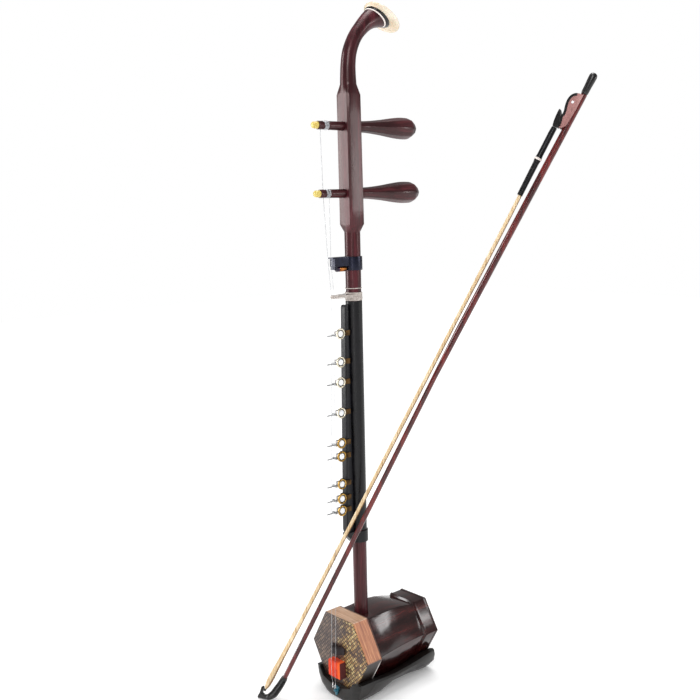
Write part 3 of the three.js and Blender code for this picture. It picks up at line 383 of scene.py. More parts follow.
left_c = m.ramp(bl, [(0.36, hexc("3a2823")), (0.5, hexc("553f37")), (0.66, hexc("78604f"))])
right_c = m.ramp(bl, [(0.36, hexc("4a2f1d")), (0.47, hexc("7c5632")), (0.56, hexc("b08b50")), (0.7, hexc("d9c184"))])
side_f = m.math("ADD", x, m.math("MULTIPLY", m.math("SUBTRACT", z, ZB / 1000), -0.12))
body_c = m.mix(m.range(m.math("ADD", side_f, m.math("MULTIPLY", m.math("SUBTRACT", blot, 0.5), 0.05)), -0.006, 0.012, 0.0, 1.0, smooth=True), left_c, right_c)
fine = m.noise(m.coords((900, 900, 900)), 1.0, 4, 0.6)
body_c = m.mix(m.range(fine, 0.4, 0.7, 0.0, 0.3), body_c, hexc("3c2f27"))
gap_c = m.mix(0.5, body_c, hexc("19110c"))
face_c = m.mix(m.range(edge, 0.05, 0.19, 0.0, 1.0, smooth=True), hexc("1d130e"), body_c)
face_c = m.mix(m.range(edge, 0.34, 0.47, 0.0, 0.22, smooth=True), face_c, hexc("9a8570"))
streak = m.noise(m.coords((46, 520, 46)), 1.0, 5, 0.6, 0.4)
# rim hide: a lit copy for the upper faces, a darker copy below the middle as painted shade, and a pale band along the
# top as a painted highlight
rim_upper_lit = m.ramp(streak, [(0.3, hexc("84482a")), (0.5, hexc("a8673f")), (0.7, hexc("c98d5e"))])
rim_lower_painted_shade = m.ramp(streak, [(0.3, hexc("120c0a")), (0.5, hexc("1e1410")), (0.7, hexc("2e1f18"))])
rim_top_painted_highlight = m.ramp(streak, [(0.3, hexc("a07a60")), (0.5, hexc("bd987c")), (0.7, hexc("d3b59b"))])
rim_c = m.mix(m.range(z, (ZB - 1.2) / 1000, (ZB + 1.2) / 1000, 0.0, 1.0), rim_lower_painted_shade, rim_upper_lit)
rim_c = m.mix(m.range(z, (Z_TOP_SKIN - 0.9) / 1000, (Z_TOP_SKIN - 0.3) / 1000, 0.0, 1.0), rim_c, rim_top_painted_highlight)
fold = m.range(y, (Y_SKIN + OY + 0.6) / 1000, (Y_SKIN + OY + 1.6) / 1000, 0.0, 1.0)
m.color(m.mix(fold, face_c, rim_c))
m.rough(fine, 0.32, 0.5)
m.bump(m.math("ADD", m.math("MULTIPLY", fine, 0.3), m.math("MULTIPLY", streak, 0.2)), 0.25, 0.0002)
MT["skin"] = m

# ---------------------------------------------------------------- mesh helpers


def shade(o, deg=35.0):
    me = o.data
    for p in me.polygons:
        p.use_smooth = True
    me.set_sharp_from_angle(angle=math.radians(deg))


def piece(name, verts, faces, mats, body, rep=(), deg=35.0, fidx=None):
    me = bpy.data.meshes.new(name)
    me.from_pydata([(p[0] / 1000, (p[1] + OY) / 1000, p[2] / 1000) for p in verts], [], faces)
    bm = bmesh.new()
    bm.from_mesh(me)
    bmesh.ops.recalc_face_normals(bm, faces=bm.faces)
    bm.to_mesh(me)
    bm.free()
    o = bpy.data.objects.new(name, me)
    bpy.context.scene.collection.objects.link(o)
    for k in (mats if isinstance(mats, (list, tuple)) else [mats]):
        me.materials.append(MT[k].m)
    if fidx is not None:
        for p, i in zip(me.polygons, fidx):
            p.material_index = i
    shade(o, deg)
    if rep:
        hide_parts(*rep)
    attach(o, body)
    return o


def loft_data(rings, base=0, closed=False, caps=True):
    n = len(rings[0])
    verts = [tuple(p) for r in rings for p in r]
    faces = []
    m_ = len(rings)
    for i in range(m_ if closed else m_ - 1):
        for j in range(n):
            a, b = i * n + j, i * n + (j + 1) % n
            i2 = (i + 1) % m_
            c, d = i2 * n + (j + 1) % n, i2 * n + j
            faces.append((base + a, base + b, base + c, base + d))
    if caps and not closed:
        faces.append(tuple(base + j for j in reversed(range(n))))
        faces.append(tuple(base + (m_ - 1) * n + j for j in range(n)))
    return verts, faces


class Build:
    def __init__(self):
        self.v, self.f, self.m = [], [], []

    def add(self, verts, faces, mi=0):
        b = len(self.v)
        self.v += [tuple(p) for p in verts]
        self.f += [tuple(b + i for i in f) for f in faces]
        self.m += [mi] * len(faces)

    def loft(self, rings, mi=0, closed=False, caps=True):
        v_, f_ = loft_data(rings, 0, closed, caps)
        self.add(v_, f_, mi)

    def piece(self, name, mats, body, slot, rep=(), deg=35.0):
        return piece(name, self.v, self.f, mats, body, rep, deg, self.m)


def lathe_rings(profile, seg, axis, at):
    """Rings of a lathed profile [[radius, along], ...] about an axis through at; radius 0 becomes a tiny ring."""
    rings = []
    for r, a in profile:
        r = max(r, 0.02)
        ring = []
        for k in range(seg):
            t = 2 * math.pi * k / seg
            c, s = r * math.cos(t), r * math.sin(t)
            p = {"z": (c, s, a), "y": (c, a, s), "x": (a, c, s)}[axis]
            ring.append((p[0] + at[0], p[1] + at[1], p[2] + at[2]))
        rings.append(ring)
    return rings


def spline(rows, n):
    """Catmull-Rom resampling of table rows to n points, parameter by the first column's order."""
    rows = np.array(rows, float)
    d = np.concatenate([[0], np.cumsum(np.linalg.norm(np.diff(rows[:, :2], axis=0), axis=1))])
    out = []
    for t in np.linspace(0, d[-1], n):
        i = min(max(int(np.searchsorted(d, t)) - 1, 0), len(d) - 2)
        f = (t - d[i]) / max(d[i + 1] - d[i], 1e-9)
        p0, p1, p2, p3 = rows[max(i - 1, 0)], rows[i], rows[i + 1], rows[min(i + 2, len(d) - 1)]
        d1, d2 = d[i + 1] - d[i], 1.0
        m1 = (p2 - p0) / max(d[i + 1] - d[max(i - 1, 0)], 1e-9) * d1
        m2 = (p3 - p1) / max(d[min(i + 2, len(d) - 1)] - d[i], 1e-9) * d1
        h = [2 * f**3 - 3 * f**2 + 1, f**3 - 2 * f**2 + f, -2 * f**3 + 3 * f**2, f**3 - f**2]
        out.append(h[0] * p1 + h[1] * m1 + h[2] * p2 + h[3] * m2)
    return np.array(out)


def tube_rings(points, radii, sides=12, up=(1, 0.13, 0.21)):
    P = [Vector(p) for p in points]
    rings = []
    u = None
    for i in range(len(P)):
        t = (P[min(i + 1, len(P) - 1)] - P[max(i - 1, 0)]).normalized()
        if u is None:
            u = Vector(up)
        u = (u - t * u.dot(t)).normalized()
        v_ = t.cross(u)
        r = radii[i] if hasattr(radii, "__len__") else radii
        rings.append([tuple(P[i] + u * r * math.cos(2 * math.pi * k / sides) + v_ * r * math.sin(2 * math.pi * k / sides)) for k in range(sides)])
    return rings


def finished(node, mat, bevel=0.35, seg=2, deg=34.0, edge_deg=28.0, name=None):
    """A finished copy of a CAD node: welded, with its machine edges rounded over, standing for that node."""
    src = frame["nodes"][node]
    me = src.data.copy()
    me.name = (name or node) + "_fin"
    bm = bmesh.new()
    bm.from_mesh(me)
    bmesh.ops.remove_doubles(bm, verts=bm.verts, dist=4e-6)
    bmesh.ops.dissolve_limit(bm, angle_limit=math.radians(1.0), verts=bm.verts, edges=bm.edges)
    edges = [e for e in bm.edges if len(e.link_faces) == 2 and e.calc_face_angle(0) > math.radians(edge_deg)]
    if bevel and edges:
        bmesh.ops.bevel(bm, geom=edges, offset=bevel / 1000, segments=seg, profile=0.6, affect="EDGES", clamp_overlap=True)
    bmesh.ops.recalc_face_normals(bm, faces=bm.faces)
    bm.to_mesh(me)
    bm.free()
    if "custom_normal" in me.attributes:
        me.attributes.remove(me.attributes["custom_normal"])
    me.materials.clear()
    for k in (mat if isinstance(mat, (list, tuple)) else [mat]):
        me.materials.append(MT[k].m)
    for p in me.polygons:
        p.material_index = 0
    o = bpy.data.objects.new((name or node) + "_fin", me)
    bpy.context.scene.collection.objects.link(o)
    shade(o, deg)
    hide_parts(node)
    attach(o, frame["nodes"][node]["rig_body"])
    return o


# ---------------------------------------------------------------- neck
def angles(n):
    a = [2 * math.pi * k / n for k in range(n)]
    c = math.radians(38.75)
    for q in range(4):
        a += [q * math.pi / 2 + c, q * math.pi / 2 + math.pi / 2 - c]
    return sorted(set(round(t % (2 * math.pi), 6) for t in a))


ANG = angles(48)


def sq_r(a, h, c):
    x_, y_ = abs(math.cos(a)), abs(math.sin(a))
    return min(h / max(x_, 1e-9), h / max(y_, 1e-9), (2 * h - c) / (x_ + y_))


def ring_round(r, z, y=None):
    y = neck_y(z) if y is None else y
    return [(r * math.cos(a), y + r * math.sin(a), z) for a in ANG]


HEAD = [
    [0.0, 741, 9.6, 9.6], [0.0, 752, 9.1, 9.1], [0.6, 764, 8.7, 8.7], [3.0, 777, 8.5, 8.5],
    [8.6, 789.6, 8.3, 8.3], [14.8, 798.6, 8.3, 8.3], [21.2, 805.2, 8.6, 8.7],
    [27.4, 810.7, 9.1, 9.5], [33.8, 814.9, 10.0, 11.0], [38.9, 817.0, 10.8, 12.9], [43.2, 818.5, 11.6, 14.7],
]
END_T = Vector((0, 0.607, 0.794)).normalized()
END_V = Vector((0, 0.794, -0.607)).normalized()
rings = [ring_round(6.4, 16.3), ring_round(6.4, 94), ring_round(neck_r(101) - 0.05, 94.2)]
for z_ in (104, 160, 240, 320, 400, 480, 550, Z_SQ0 - 1.0):
    rings.append(ring_round(neck_r(z_), z_))
# shoulders: each flat of the square rises out of the round in a shallow point
for t in (0.0, 0.12, 0.3, 0.55, 0.8, 1.0):
    z_ = Z_SQ0 + 9 * t
    rings.append([((1 - t) * neck_r(Z_SQ0) * math.cos(a) + t * sq_r(a, SQ_H, SQ_C) * math.cos(a),
                   (1 - t) * neck_r(Z_SQ0) * math.sin(a) + t * sq_r(a, SQ_H, SQ_C) * math.sin(a), z_) for a in ANG])
for z_ in (600, 650, 700, Z_SQ1 - 8):
    k = (z_ - Z_SQ0 - 9) / (Z_SQ1 - 17 - Z_SQ0)
    rings.append([(sq_r(a, SQ_H - 0.3 * k, SQ_C) * math.cos(a), sq_r(a, SQ_H - 0.3 * k, SQ_C) * math.sin(a), z_) for a in ANG])
for t in (0.2, 0.45, 0.7, 0.88):
    z_ = Z_SQ1 - 8 + t * 12
    rings.append([((1 - t) * sq_r(a, SQ_H - 0.3, SQ_C) * math.cos(a) + t * 9.6 * math.cos(a),
                   (1 - t) * sq_r(a, SQ_H - 0.3, SQ_C) * math.sin(a) + t * 9.6 * math.sin(a), z_) for a in ANG])
hp = spline(HEAD, 44)
for i in range(len(hp)):
    a_, b_ = hp[max(0, i - 1)], hp[min(len(hp) - 1, i + 1)]
    t = Vector((0, b_[0] - a_[0], b_[1] - a_[1])).normalized()
    if i == 0:
        t = Vector((0, 0, 1))
    f = i / (len(hp) - 1)
    k = max(0.0, min(1.0, (f - 0.66) / 0.34))
    k = k * k * (3 - 2 * k)
    t = t.lerp(END_T, k).normalized()
    up_ = Vector((0, t.z, -t.y))
    c_ = Vector((0, hp[i][0], hp[i][1]))
    rings.append([tuple(c_ + Vector((1, 0, 0)) * hp[i][2] * math.cos(a) + up_ * hp[i][3] * math.sin(a)) for a in ANG])
b = Build()
b.loft(rings)
neck = b.piece("neck_shaft", ["neck"], "instrument", "rosewood", ["neck"], 30)
# peg holes through the square section
for nm in ("upper_peg", "lower_peg"):
    me = bpy.data.meshes.new("cutter")
    v_, f_ = loft_data(lathe_rings([[5.35, -14.0], [5.35, 14.0]], 32, "y", (0, 0, Z_PEG[nm])))
    me.from_pydata([(p[0] / 1000, (p[1] + OY) / 1000, p[2] / 1000) for p in v_], [], f_)
    bm = bmesh.new()
    bm.from_mesh(me)
    bmesh.ops.recalc_face_normals(bm, faces=bm.faces)
    bm.to_mesh(me)
    bm.free()
    co = bpy.data.objects.new("cutter", me)
    bpy.context.scene.collection.objects.link(co)
    md = neck.modifiers.new("hole", "BOOLEAN")
    md.operation = "DIFFERENCE"
    md.solver = "EXACT"
    md.object = co
    bpy.context.view_layer.update()
    new = bpy.data.meshes.new_from_object(neck.evaluated_get(bpy.context.evaluated_depsgraph_get()))
    neck.modifiers.clear()
    neck.data = new
    bpy.data.objects.remove(co)
shade(neck, 30)

# rings and cap on the head's end
END_C = Vector((0, 43.2, 818.5))


def end_piece(name, rows, n, mats, slot, rep, deg=40):
    rows = spline([[r[0], r[1] * 0.01, *r] for r in rows], n)[:, 2:] if n else np.array(rows)
    rr = []
    for d, e, a_, b_ in rows:
        c_ = END_C + END_T * d + END_V * e
        rr.append([tuple(c_ + Vector((1, 0, 0)) * a_ * math.cos(q) - END_V * b_ * math.sin(q)) for q in [2 * math.pi * k / 64 for k in range(64)]])
    bb = Build()
    bb.loft(rr)
    return bb.piece(name, mats, "instrument", slot, rep, deg)


end_piece("inlay_ring", [[0.3, 0.1, 11.8, 15.0], [1.6, 0.7, 12.4, 15.6]], 0, ["white"], "inlay_white", ["head_inlay_ring"])
end_piece("ebony_collar", [[1.9, 0.9, 12.6, 15.8], [2.3, 1.2, 13.1, 16.2], [3.2, 1.9, 13.7, 16.8], [4.2, 2.6, 14.3, 17.5], [4.6, 2.9, 14.2, 17.4]], 0, ["ebony"], "ebony", ["head_ebony_ring"])
end_piece("bone_cap", [[4.9, 3.4, 14.9, 18.2], [5.3, 4.1, 16.0, 19.3], [6.2, 5.4, 17.7, 21.1], [7.0, 6.6, 19.3, 22.7], [7.8, 7.6, 20.4, 23.9], [8.6, 8.1, 21.1, 24.6], [9.3, 8.3, 21.35, 24.85],
                       [10.0, 8.35, 21.2, 24.7], [10.6, 8.3, 20.5, 24.0], [11.0, 8.3, 19.6, 22.9], [11.35, 8.2, 18.0, 21.1], [11.55, 8.2, 15.4, 18.2], [11.6, 8.2, 12.0, 14.6]], 0, ["bone"], "bone", ["head_bone_cap"], 50)

# ---------------------------------------------------------------- pegs
for nm in ("upper_peg", "lower_peg"):
    z_ = Z_PEG[nm]
    bd = nm + "_body"
    b = Build()
    y1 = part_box(nm)[1][1] * 1000 - OY
    y0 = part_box(nm + "_bone_tip")[0][1] * 1000 - OY
    prof = spline([[11.9, 6.1], [15, 6.6], [29, 7.4], [47, 9.2], [63, 11.4], [75, 12.8], [84, 13.3], [y1 - 10.5, 13.0], [y1 - 8.9, 12.5]], 34)
    prof = [(r, a) for a, r in prof] + [(11.9, y1 - 8.0), (9.4, y1 - 4.0), (7.1, y1 - 0.6), (6.6, y1 - 0.12), (5.9, y1), (0.4, y1)]
    prof = [(0.4, 11.9), (5.6, 11.9)] + prof
    rr = []
    for r, a in prof:
        ring = []
        for k in range(64):
            t = 2 * math.pi * k / 64
            # eight flats with softened corners
            w = math.pi / 4
            f = (t % w) - w / 2
            ap = r * math.cos(math.pi / 8)
            flat = ap / math.cos(f)
            rad = min(flat, ap * 1.055)
            round_ = r * 0.97
            mixk = max(0.0, min(1.0, (a - 13) / 12))
            q = round_ * (1 - mixk) + rad * mixk
            ring.append((q * math.cos(t), a, z_ + q * math.sin(t)))
        rr.append(ring)
    b.loft(rr)
    b.loft(lathe_rings([[0.2, y0 + 8.1], [4.6, y0 + 8.1], [4.85, y0 + 8.35], [4.85, -42.4], [4.7, -42.0], [4.5, -41.6], [4.5, -33.2], [4.75, -32.7], [4.98, -32.4], [5.08, 0], [5.1, 12.6], [0.2, 12.6]], 40, "y", (0, 0, z_)))
    b.piece(nm + "_turned", ["peg"], bd, "peg_wood", [nm], 22)
    b = Build()
    b.loft(lathe_rings([[0.2, y0], [1.3, y0 + 0.05], [2.2, y0 + 0.3], [2.9, y0 + 0.75], [3.4, y0 + 1.3], [3.75, y0 + 2.1], [3.95, y0 + 3.2], [4.1, y0 + 6.2], [4.1, y0 + 7.4], [3.95, y0 + 7.65], [0.2, y0 + 7.7]], 40, "y", (0, 0, z_)))
    b.piece(nm + "_bone_end", ["tip"], bd, "bone_yellow", [nm + "_bone_tip"], 40)


def coil(name, centre_r, wire_r, y0, pitch, turns, z_, body, node, sides=8):
    pts = []
    n = int(turns * 28)
    for i in range(n + 1):
        t = 2 * math.pi * i / 28
        pts.append((centre_r * math.cos(t), y0 + pitch * i / 28, z_ + centre_r * math.sin(t)))
    b = Build()
    b.loft(tube_rings(pts, wire_r, sides, (0, 1, 0)))
    b.piece(name, ["string"], body, "string_steel", [node], 60)


coil("inner_turns", 4.95, 0.4, -40.6, 1.0, 6.6, Z_PEG["upper_peg"], "upper_peg_body", "inner_string_coil")
coil("outer_turns", 4.86, 0.3, -40.6, 0.95, 6.6, Z_PEG["lower_peg"], "lower_peg_body", "outer_string_coil")

# ---------------------------------------------------------------- strings
Y_QJ, Z_QJ, SLOPE, Z_BR = -33.0, 497.0, 0.0366, 64.0


def str_y(z):
    return Y_QJ - SLOPE * (Z_QJ - z)


for nm, side, zp, r in (("inner_string", -1, Z_PEG["upper_peg"], 0.4), ("outer_string", 1, Z_PEG["lower_peg"], 0.3)):
    xc = side * (4.8 + 2 * r + r + 0.4)
    pts = [(xc, -39.0, zp + 1.5)]
    if side < 0:
        pts += [(-6.45, -37.6, 622.0), (-6.45, -37.5, 614.0)]
    pts += [(side * 2.75, -36.5, 541.6), (side * 2.65, -35.9, 532), (side * 2.2, Y_QJ, Z_QJ + 0.5),
            (side * 3.75, str_y(Z_BR), Z_BR + 3.0), (side * 3.75, str_y(Z_BR) - 0.05, Z_BR),
            (side * 3.6, -50.6, 51.0), (side * 3.0, -50.6, 29.0), (side * 2.2, -49.6, 20.2)]
    b = Build()
    b.loft(tube_rings(pts, r * 0.6, 12))
    b.piece(nm + "_wire", ["string"], "instrument", "string_steel", [nm], 60)

# ---------------------------------------------------------------- qianjin: cord wound round the neck and out round the strings
def twisted(points, r, sides=10, plies=2, lay=2.6):
    """A tube with the lobes of a twisted cord."""
    P = [Vector(p) for p in points]
    rings_ = []
    u = Vector((0.02, 0.05, 1))
    run = 0.0
    for i in range(len(P)):
        t = (P[min(i + 1, len(P) - 1)] - P[max(i - 1, 0)]).normalized()
        u = (u - t * u.dot(t)).normalized()
        v_ = t.cross(u)
        if i:
            run += (P[i] - P[i - 1]).length
        ph = 2 * math.pi * run / lay
        ring = []
        for k in range(sides):
            a = 2 * math.pi * k / sides
            q = r * (0.86 + 0.14 * math.cos(plies * (a - ph / plies * 1.0)))
            ring.append(tuple(P[i] + u * q * math.cos(a) + v_ * q * math.sin(a)))
        rings_.append(ring)
    return rings_


YN = neck_y(Z_QJ)
RN = neck_r(Z_QJ)
b = Build()
# upper turn, crossing run, and two lower turns of the same cord
pts = []
for i in range(49):
    t = math.pi / 2 + 2 * math.pi * i / 48
    pts.append(((RN + 0.78) * math.cos(t), YN + (RN + 0.78) * math.sin(t), 506.1 - 0.15 * i / 48))
for i in range(1, 8):
    f = i / 8
    pts.append((0.4 * math.sin(f * 3.1), YN + RN + 0.95, 505.9 - 4.4 * f))
for i in range(97):
    t = math.pi / 2 + 2 * math.pi * i / 48
    pts.append(((RN + 0.85) * math.cos(t), YN + (RN + 0.85) * math.sin(t), 501.4 - 0.98 * i / 48))
b.loft(twisted(pts, 0.52, 8))
b.piece("qianjin_turns", ["cord"], "instrument", "cord", ["qianjin_winding"], 60)
b = Build()
for k in range(4):
    z_ = 491.9 + k * 1.02
    pts = [((RN + 0.85) * math.cos(2 * math.pi * i / 48), YN + (RN + 0.85) * math.sin(2 * math.pi * i / 48), z_ + 0.1 * math.sin(k + 2 * math.pi * i / 48)) for i in range(48)]
    b.loft(twisted(pts, 0.56, 8, lay=2 * math.pi * (RN + 0.85) / 22), closed=True)
for k in range(4):
    z_ = 496.0 + k * 0.98
    rs, yc = 3.45 + 0.03 * k, Y_QJ + 0.2
    out = []
    for i in range(-10, 11):
        t = math.pi / 2 + i * (math.pi * 0.56) / 10
        out.append((( RN + 0.85) * math.cos(t), YN + (RN + 0.85) * math.sin(t)))
    for i in range(15):
        t = math.pi + i * math.pi / 14
        out.append((rs * math.cos(t), yc + rs * 0.58 * math.sin(t)))
    # even spacing round the closed loop
    q = np.array(out + [out[0]])
    d = np.concatenate([[0], np.cumsum(np.linalg.norm(np.diff(q, axis=0), axis=1))])
    n = 96
    pts = [(float(np.interp(s_, d, q[:, 0])), float(np.interp(s_, d, q[:, 1])), z_ + 0.12 * math.sin(k * 1.7 + 2 * math.pi * j / n)) for j, s_ in enumerate(np.linspace(0, d[-1], n, endpoint=False))]
    b.loft(twisted(pts, 0.5, 8, lay=d[-1] / 40), closed=True)
b.piece("qianjin_cord_loop", ["cord"], "instrument", "cord", ["qianjin_loop"], 60)

# ---------------------------------------------------------------- clamps, sleeve, rail
finished("upper_clamp", "navy", 0.7, 3, 40)
finished("lower_clamp", "black", 0.5, 3, 40)
finished("position_rail", "rail", 0.35, 2, 34)
b = Build()
zz = [209.0, 209.3, 280, 350, 420, 490.6, 490.9]
rr = []
for i, z_ in enumerate(zz):
    r = neck_r(z_) + (0.6 if i in (0, len(zz) - 1) else 0.85)
    rr.append([(r * math.cos(2 * math.pi * k / 64), neck_y(z_) + r * math.sin(2 * math.pi * k / 64), z_) for k in range(64)])
for z_ in reversed(zz):
    r = neck_r(z_) + 0.3
    rr.append([(r * math.cos(2 * math.pi * k / 64), neck_y(z_) + r * math.sin(2 * math.pi * k / 64), z_) for k in range(64)])
b.loft(rr, closed=True)
b.piece("neck_sleeve", ["black"], "instrument", "black_plastic", ["guide_sleeve"], 35)

# brass clamp screw: plain barrel, knurled dark thumb end
zs_ = mid("clamp_thumb_screw")[2]
b = Build()
b.loft(lathe_rings([[0.2, -22.1], [2.8, -22.1], [3.08, -21.8], [3.1, -19.0], [2.8, -18.8], [2.8, -18.2], [3.1, -18.0], [3.1, -13.1], [2.9, -12.75], [0.2, -12.75]], 40, "y", (0, 0, zs_)), 0)
rr = []
for r, a in [[0.2, -27.2], [2.2, -27.2], [2.6, -27.0], [3.0, -26.5], [3.05, -23.2], [2.7, -22.4], [2.4, -22.15], [0.2, -22.15]]:
    rr.append([((r * (1 - 0.045 * (k % 2) * (1 if 2.7 < r else 0))) * math.cos(2 * math.pi * k / 48), a, zs_ + (r * (1 - 0.045 * (k % 2) * (1 if 2.7 < r else 0))) * math.sin(2 * math.pi * k / 48)) for k in range(48)])
b.loft(rr, 1)
b.piece("clamp_screw_turned", ["brass", "thumb"], "clamp_screw", "brass", ["clamp_thumb_screw"], 40)

# ---------------------------------------------------------------- stops and their discs
for i in range(1, 10):
    finished("position_stop_%d" % i, "stop", 0.3, 2, 34)
    x0, c_ = DISC[i - 1]
    yc, zc = c_[1] - OY, c_[2]
    R = 6.5
    rim = 1 if i <= 4 else 2
    b = Build()
    b.loft(lathe_rings([[0.2, 0.0], [R - 0.55, 0.0], [R - 0.15, 0.15], [R, 0.5], [R, 1.6], [R - 0.2, 1.95], [R - 0.55, 2.12], [R - 1.0, 2.15], [R - 1.45, 2.0], [R - 1.75, 1.6]], 56, "x", (x0, yc, zc)), rim, caps=False)
    # the groove between rim and face gets a dark finish standing in for the shade in the recess: painted shade
    b.loft(lathe_rings([[R - 1.75, 1.6], [R - 1.95, 1.15], [R - 2.35, 1.0], [R - 2.75, 1.15]], 56, "x", (x0, yc, zc)), 3, caps=False)
    b.loft(lathe_rings([[R - 2.75, 1.15], [R - 2.95, 1.65], [R - 3.3, 2.05], [2.4, 2.4], [1.6, 2.62], [0.8, 2.76], [0.2, 2.8]], 56, "x", (x0, yc, zc)), 0, caps=False)
    # close the two ends and weld
    o = b.piece("stop_face_%d" % i, ["pearl", "rim_silver", "rim_gold", "groove_painted_shade"], "stop_%d" % i, "disc_white", ["stop_disc_%d" % i], 55)
    bm = bmesh.new()
    bm.from_mesh(o.data)
    bmesh.ops.remove_doubles(bm, verts=bm.verts, dist=1e-6)
    bmesh.ops.holes_fill(bm, edges=[e for e in bm.edges if e.is_boundary], sides=0)
    bmesh.ops.recalc_face_normals(bm, faces=bm.faces)
    bm.to_mesh(o.data)
    bm.free()
    shade(o, 55)

# ---------------------------------------------------------------- sound box
for nm in ("upper_right_stave", "top_stave", "upper_left_stave", "lower_left_stave", "bottom_stave", "lower_right_stave"):
    finished(nm, "box", 0.3, 2, 24, 40)
finished("rear_sound_window", "box", 0.5, 2, 34)
finished("skin_trim_band", "trim", 0.25, 2, 34)

# skin with raised scales
N_ = 104
Rf = R_SKIN


def hexp(s, k, y):
    a = k * math.pi / 3
    return Vector((s * math.cos(a), y, ZB + s * math.sin(a)))


def scale_h(xx, zz_):
    """Height of the scales at a point of the face, mm."""
    w = noise.noise(Vector((xx * 0.038 + 4, 4, zz_ * 0.038 + 4))) * 0.5
    xs_ = xx / W + w * 0.5 + 0.25
    zs2 = zz_ / H
    u_, v_ = xs_ + zs2, xs_ - zs2
    e = min(abs(u_ - round(u_)), abs(v_ - round(v_)))
    return 0.34 * (1 - math.exp(-e * 9.0)) * (0.85 + 0.15 * noise.noise(Vector((math.floor(u_), math.floor(v_), 0.5))))


verts, faces, index = [], [], {}


def vid(p):
    key = (round(p[0], 3), round(p[1], 3), round(p[2], 3))
    if key not in index:
        index[key] = len(verts)
        verts.append(tuple(p))
    return index[key]


top = {}
for k in range(6):
    c0 = Vector((0, Y_SKIN, ZB))
    a_ = hexp(Rf - 0.7, k, Y_SKIN)
    b_ = hexp(Rf - 0.7, k + 1, Y_SKIN)
    rows_ = []
    for i in range(N_ + 1):
        row = []
        for j in range(i + 1):
            p = c0 + (a_ - c0) * (i - j) / N_ + (b_ - c0) * j / N_
            row.append(vid(p))
        rows_.append(row)
    for i in range(N_):
        for j in range(i + 1):
            faces.append((rows_[i][j], rows_[i + 1][j], rows_[i + 1][j + 1]))
            if j < i:
                faces.append((rows_[i][j], rows_[i + 1][j + 1], rows_[i][j + 1]))
    top[k] = rows_[N_]
nface = len(verts)
# fold and rim
steps = [(-0.32, 0.1), (-0.1, 0.35), (0.0, 0.7)] + [(0.0, 0.7 + (Y_RIM - Y_SKIN - 0.7) * i / 8) for i in range(1, 9)]
inner = [(-0.8, Y_RIM - Y_SKIN), (-0.8, 0.8)]
for k in range(6):
    prev = top[k]
    for ds, dy in steps + inner:
        a_ = hexp(Rf + ds, k, Y_SKIN + dy)
        b_ = hexp(Rf + ds, k + 1, Y_SKIN + dy)
        cur = [vid(a_ + (b_ - a_) * j / N_) for j in range(N_ + 1)]
        for j in range(N_):
            faces.append((prev[j], cur[j], cur[j + 1], prev[j + 1]))
        prev = cur
faces_inner = []
for k in range(6):
    a_ = hexp(Rf - 0.8, k, Y_SKIN + 0.8)
    b_ = hexp(Rf - 0.8, k + 1, Y_SKIN + 0.8)
    cc = vid(Vector((0, Y_SKIN + 0.8, ZB)))
    ring = [vid(a_ + (b_ - a_) * j / N_) for j in range(N_ + 1)]
    for j in range(N_):
        faces.append((cc, ring[j + 1], ring[j]))
for i in range(nface):
    px, py, pz = verts[i]
    s_ = max(abs((pz - ZB)) / math.cos(math.pi / 6), abs(px * math.cos(math.pi / 6) + (pz - ZB) * 0.5) / math.cos(math.pi / 6), abs(px * math.cos(math.pi / 6) - (pz - ZB) * 0.5) / math.cos(math.pi / 6))
    fade = max(0.0, min(1.0, (Rf - 0.9 - s_) / 1.2))
    verts[i] = (px, py + 0.34 * (1 - 1) + (0.3 - scale_h(px, pz)) * fade, pz)
skin = piece("skin_scales", verts, faces, ["skin"], "instrument", ["python_skin"], 50)

# bridge and felt pad
finished("bridge", "bridge", 0.5, 3, 40)
lo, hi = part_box("damper_pad")
b = Build()
hx, hy, hz = (hi[0] - lo[0]) * 500, (hi[1] - lo[1]) * 500, (hi[2] - lo[2]) * 500
cx, cy, cz = [(lo[i] + hi[i]) * 500 for i in range(3)]
cy -= OY
nu, nv = 40, 14
rings = []
for i in range(nv + 1):
    t = -1 + 2 * i / nv
    # slices through the thickness; rounded at the outer face, flat against the skin
    k_ = 1.0 - 0.035 * max(0.0, -t) ** 4 - 0.01 * max(0.0, t) ** 4
    ring = []
    for j in range(nu * 4):
        a = 2 * math.pi * j / (nu * 4)
        ca, sa = math.cos(a), math.sin(a)
        r = (abs(ca) ** 18 + abs(sa) ** 18) ** (-1 / 18)
        px, pz = hx * 0.99 * k_ * r * ca, hz * 0.985 * k_ * r * sa
        dx = 0.28 * noise.noise(Vector((px * 0.32, t * 3, pz * 0.32))) + 0.09 * noise.noise(Vector((px * 1.7, t * 9, pz * 1.7)))
        ring.append((cx + px + dx * ca, cy + hy * 0.97 * t, cz + pz + dx * sa))
    rings.append(ring)
b.loft(rings, caps=False)
# crowned front and flat back, each as shrinking rings
for sgn, base_ring in ((-1, rings[0]), (1, rings[-1])):
    rr = []
    for q in range(0, 12):
        f = 1 - q / 12 * 0.985
        bulge = -0.12 * hy * (1 - f * f) if sgn < 0 else 0.0
        ring = []
        for (px, py, pz) in base_ring:
            fx, fz = cx + (px - cx) * f, cz + (pz - cz) * f
            fuzz = 0.13 * noise.noise(Vector((fx * 0.9, sgn * 2.0, fz * 0.9))) if sgn < 0 else 0.0
            ring.append((fx, max(py + bulge + fuzz * (1 - f ** 6), cy - hy), fz))
        rr.append(ring)
    v_, f_ = loft_data(rr, 0, False, False)
    f_.append(tuple(11 * len(base_ring) + j for j in range(len(base_ring))))
    b.add(v_, f_)
pad = b.piece("felt_pad", ["felt"], "instrument", "red_felt", ["damper_pad"], 60)
bm = bmesh.new()
bm.from_mesh(pad.data)
bmesh.ops.remove_doubles(bm, verts=bm.verts, dist=2e-6)
bmesh.ops.recalc_face_normals(bm, faces=bm.faces)
bm.to_mesh(pad.data)
